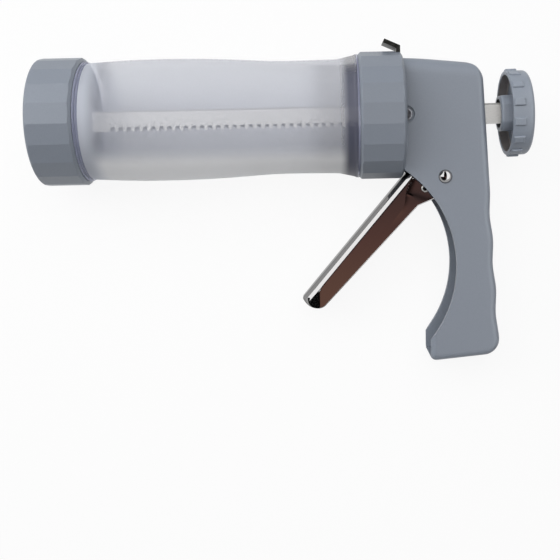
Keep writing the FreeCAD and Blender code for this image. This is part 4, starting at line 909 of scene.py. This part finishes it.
def make_knob():
    """Cup, hub and grip pads, tilted on the pin."""
    inside_radius = KNOB_RADIUS - KNOB_WALL
    shoulder = (KNOB_BACK - KNOB_ROUND, KNOB_RADIUS - KNOB_ROUND)
    back = [(KNOB_BACK, 0.02)] + [polar(shoulder, KNOB_ROUND, 90 * k / 8) for k in range(9)]
    rim = [
        (CUP_RIM + 0.5, KNOB_RADIUS), (CUP_RIM + 0.15, KNOB_RADIUS - 0.15), (CUP_RIM, KNOB_RADIUS - 0.5),
        (CUP_RIM, inside_radius + 0.3), (CUP_RIM + 0.3, inside_radius),
    ]
    cup = [(CUP_FLOOR - 0.6, inside_radius), (CUP_FLOOR, inside_radius - 0.6), (CUP_FLOOR, 0.02)]
    outline = back + rim + cup
    # Slot 1, the cup's inner wall, takes the painted shade.
    mesh = lathe("pull_knob_cup", outline, KNOB_STEPS, [(len(back) + len(rim) - 1, len(outline) - 2, 1)])
    work = bmesh.new()
    work.from_mesh(mesh)
    # The hub from below the cup's floor along its side and rounded edge to its face, then into the mouth.
    stations = [
        (CUP_FLOOR + 0.5, 0.0, False), (HUB_FACE + 1.3, 0.0, False), (HUB_FACE + 0.8, 0.1, False),
        (HUB_FACE + 0.35, 0.4, False), (HUB_FACE + 0.08, 0.85, False), (HUB_FACE, 1.3, False),
        (HUB_FACE, MOUTH_RADIUS, True), (HUB_FACE + MOUTH_DEPTH, MOUTH_RADIUS - 0.2, True),
    ]
    hub_shell(work, stations, [0, 0, 0, 0, 0, 0, 2, 2])
    for k in range(GRIP_PADS):
        grip_pad(work, math.radians(PAD_TURN + 360.0 * k / GRIP_PADS))
    bmesh.ops.recalc_face_normals(work, faces=work.faces)
    work.to_mesh(mesh)
    work.free()
    shade_by_angle(mesh, SHARP)
    pin = Vector((KNOB_PIN, 0, 0))
    mesh.transform(Matrix.Translation(pin) @ Matrix.Rotation(KNOB_TILT, 4, "Z") @ Matrix.Translation(-pin))
    add_object("pull_knob_cup", mesh, "plunger", ["pull_knob"],
               [looks["knob"], looks["cup_painted_shade"], looks["shade"]])


make_knob()


# ---------------------------------------------------------------- eyelet
EYELET_PROUD = 0.35               # above the trigger's side
EYELET_BORE = 1.35
ROLL_RADIUS = 1.5                 # middle of the rolled rim
ROLL_HEIGHT = 0.45
ROLL_HALF_WIDTH = 0.42
EYELET_STEPS = 48


def make_eyelet():
    """Hollow rivet with a rolled rim on each side; its bore is painted dark as shade."""
    top = HALF_TRIGGER + EYELET_PROUD
    rim = []
    for k in range(9):
        angle = math.pi * k / 8
        height = top - ROLL_HEIGHT + ROLL_HEIGHT * math.sin(angle)
        rim.append((height, ROLL_RADIUS + ROLL_HALF_WIDTH * math.cos(angle)))
    bore = [(top - 0.6, EYELET_BORE), (0.6 - top, EYELET_BORE)]
    outline = bore[:1] + rim + [(-z, r) for z, r in rim[::-1]] + bore[1:]
    mesh = lathe("eyelet_rim", outline, EYELET_STEPS, [(len(rim), len(rim) + 1, 1)])
    mesh.transform(Matrix.Translation((EYELET[0], EYELET[1], 0)) @ Matrix.Rotation(-math.pi / 2, 4, "Y"))
    add_object("eyelet_rim", mesh, "trigger", ["trigger_eyelet"],
               [looks["bright"], looks["shade"]])


make_eyelet()


# ---------------------------------------------------------------- camera
# The photograph's camera, fitted to it. It stands over a mark on the barrel's axis; distances in metres.
MARK = Vector((-61, 0, 0))        # in the tool frame
AWAY = 0.426
ASIDE = 0.0235
BELOW = 0.049875
LENS = 54.77
PICTURE = 560                     # pixels
SHIFT = (-47 / PICTURE, -62.35 / PICTURE)
TILT = math.radians(4.54)
TURN = math.radians(1.22)
ALONG = Vector((1, 0, 0))
UP_IMAGE = Vector((0, math.cos(TILT), math.sin(TILT)))
TOWARDS = Vector((0, -math.sin(TILT), math.cos(TILT)))
RIGHT = ALONG * math.cos(TURN) - UP_IMAGE * math.sin(TURN)
UP = ALONG * math.sin(TURN) + UP_IMAGE * math.cos(TURN)


def make_camera():
    data = bpy.data.cameras.new("camera")
    data.sensor_width = 36.0
    data.lens = LENS
    data.shift_x, data.shift_y = SHIFT
    camera = bpy.data.objects.new("camera", data)
    bpy.context.scene.collection.objects.link(camera)
    spot = TOOL @ MARK + RIGHT * ASIDE - UP * BELOW + TOWARDS * AWAY
    turn = Matrix((RIGHT, UP, TOWARDS)).transposed().to_4x4()
    camera.matrix_world = Matrix.Translation(spot) @ turn
    bpy.context.scene.camera = camera


make_camera()


# ---------------------------------------------------------------- floor, world and lamps
def picture_rays(tree):
    """1 for the rays that show the background: from the camera, in gloss and through walls."""
    path = tree.nodes.new("ShaderNodeLightPath")
    value = path.outputs["Is Camera Ray"]
    for kind in ("Is Glossy Ray", "Is Transmission Ray"):
        value = number(tree, "MAXIMUM", value, path.outputs[kind])
    return value


def mix_shaders(tree, factor, first, second, out):
    """Join two shaders by a factor and send the mix to the tree's output."""
    mix = tree.nodes.new("ShaderNodeMixShader")
    tree.links.new(factor, mix.inputs["Fac"])
    tree.links.new(first.outputs[0], mix.inputs[1])
    tree.links.new(second.outputs[0], mix.inputs[2])
    tree.links.new(mix.outputs[0], out.inputs["Surface"])


# Share of its own glow that the paper shows, seen directly and through the barrel's wall.
PAPER_GLOW, PAPER_GLOW_BEHIND = 0.9, 0.2


def paper(name):
    """Shows white to the camera and in gloss, but keeps the object's soft shadow."""
    mat = bpy.data.materials.new(name)
    mat.use_nodes = True
    tree = mat.node_tree
    tree.nodes.clear()
    out = tree.nodes.new("ShaderNodeOutputMaterial")
    plain = tree.nodes.new("ShaderNodeBsdfDiffuse")
    plain.inputs["Color"].default_value = (0.9, 0.9, 0.9, 1)
    glow = tree.nodes.new("ShaderNodeEmission")
    path = tree.nodes.new("ShaderNodeLightPath")
    depth = path.outputs["Transparent Depth"]
    behind = span(tree, depth, 0.0, 1.0, PAPER_GLOW, PAPER_GLOW_BEHIND)
    mix_shaders(tree, product(tree, picture_rays(tree), behind), plain, glow, out)
    return mat


def plane(name, spot, half_x, half_y, material):
    """Level card, facing down or up alike."""
    mesh = bpy.data.meshes.new(name)
    x, y, z = spot
    corners = [(x + a * half_x, y + b * half_y, z) for a, b in ((-1, -1), (1, -1), (1, 1), (-1, 1))]
    mesh.from_pydata(corners, [], [(0, 1, 2, 3)])
    mesh.materials.append(material)
    card = bpy.data.objects.new(name, mesh)
    bpy.context.scene.collection.objects.link(card)
    return card


CEILING = 1.0
DARK_LOW, DARK_HIGH = (-0.3, -1.6), (0.45, 2.4)   # the dark strip of ceiling above the camera
FADED = 0.1                       # share of a card's strength that is left where it has faded


def reflected_card(name, low, high, colours, strength, height=CEILING, fade=None):
    """Level card that shows only in gloss; colours are (y, colour) stops, fade two x where it goes dark."""
    mat = bpy.data.materials.new(name + "_cloth")
    mat.use_nodes = True
    tree = mat.node_tree
    tree.nodes.clear()
    out = tree.nodes.new("ShaderNodeOutputMaterial")
    glow = tree.nodes.new("ShaderNodeEmission")
    glow.inputs["Strength"].default_value = strength
    if len(colours) == 1:
        glow.inputs["Color"].default_value = colours[0][1] + (1.0,)
    else:
        across = tree.nodes.new("ShaderNodeSeparateXYZ")
        coords = tree.nodes.new("ShaderNodeTexCoord")
        tree.links.new(coords.outputs["Generated"], across.inputs[0])
        bands = tree.nodes.new("ShaderNodeValToRGB")
        while len(bands.color_ramp.elements) < len(colours):
            bands.color_ramp.elements.new(1.0)
        for element, (y, colour) in zip(bands.color_ramp.elements, colours):
            element.position = (y - low[1]) / (high[1] - low[1])
            element.color = colour + (1.0,)
        tree.links.new(across.outputs["Y"], bands.inputs["Fac"])
        tree.links.new(bands.outputs["Color"], glow.inputs["Color"])
        if fade:
            first, last = ((x - low[0]) / (high[0] - low[0]) for x in fade)
            fading = span(tree, across.outputs["X"], first, last, strength, FADED * strength)
            tree.links.new(fading, glow.inputs["Strength"])
    tree.links.new(glow.outputs[0], out.inputs["Surface"])
    middle = ((low[0] + high[0]) / 2, (low[1] + high[1]) / 2, height)
    card = plane(name, middle, (high[0] - low[0]) / 2, (high[1] - low[1]) / 2, mat)
    card.visible_camera = False
    card.visible_diffuse = False
    card.visible_transmission = False
    card.visible_volume_scatter = False
    card.visible_shadow = False


BLACK = (0.006, 0.006, 0.006)
WHITE = (1.0, 1.0, 1.0)
SOFTBOX = 2.7                     # strength of the two softboxes
plane("floor", (0, 0, 0), 4.0, 4.0, paper("floor_paper"))
reflected_card("dark_ceiling", DARK_LOW, DARK_HIGH, [
    (-0.52, BLACK), (-0.46, (0.36, 0.19, 0.14)), (-0.36, (0.33, 0.175, 0.13)), (-0.27, (0.25, 0.125, 0.105)),
    (-0.17, (0.13, 0.08, 0.075)), (-0.11, BLACK),
], 1.0, fade=(0.22, 0.34))
reflected_card("dark_corner", (-2.6, -3.0), (-0.06, -0.2), [(0.0, BLACK)], 1.0, CEILING - 0.02)
reflected_card("left_softbox", (-2.6, -1.4), (DARK_LOW[0], 2.2), [(0.0, WHITE)], SOFTBOX)
reflected_card("right_softbox", (DARK_HIGH[0], -1.4), (2.7, 2.2), [(0.0, WHITE)], SOFTBOX)


def make_world():
    world = bpy.data.worlds.new("studio")
    bpy.context.scene.world = world
    world.use_nodes = True
    tree = world.node_tree
    tree.nodes.clear()
    out = tree.nodes.new("ShaderNodeOutputWorld")
    lit = tree.nodes.new("ShaderNodeBackground")
    lit.inputs["Color"].default_value = (0.97, 0.98, 1.0, 1)
    lit.inputs["Strength"].default_value = 0.12
    seen = tree.nodes.new("ShaderNodeBackground")
    seen.inputs["Color"].default_value = (1, 1, 1, 1)
    mix_shaders(tree, picture_rays(tree), lit, seen, out)


make_world()


def lamp(name, spot, wide, deep, power):
    """Soft box, wide along x and deep the other way, facing the frame's origin."""
    data = bpy.data.lights.new(name, "AREA")
    data.shape = "RECTANGLE"
    data.size = wide
    data.size_y = deep
    data.energy = power
    light = bpy.data.objects.new(name, data)
    bpy.context.scene.collection.objects.link(light)
    facing = (-Vector(spot)).to_track_quat("-Z", "Y").to_matrix().to_4x4()
    light.matrix_world = Matrix.Translation(spot) @ facing
    light.visible_glossy = False


lamp("left_lamp", (-0.65, 0.3, 0.6), wide=0.5, deep=0.7, power=2.9)
lamp("back_lamp", (0, 0.475, 1.0), wide=1.2, deep=1.05, power=6.6)
lamp("over_lamp", (0.05, -0.05, 1.0), wide=0.8, deep=0.6, power=2.3)

bpy.context.scene.view_settings.view_transform = "Standard"
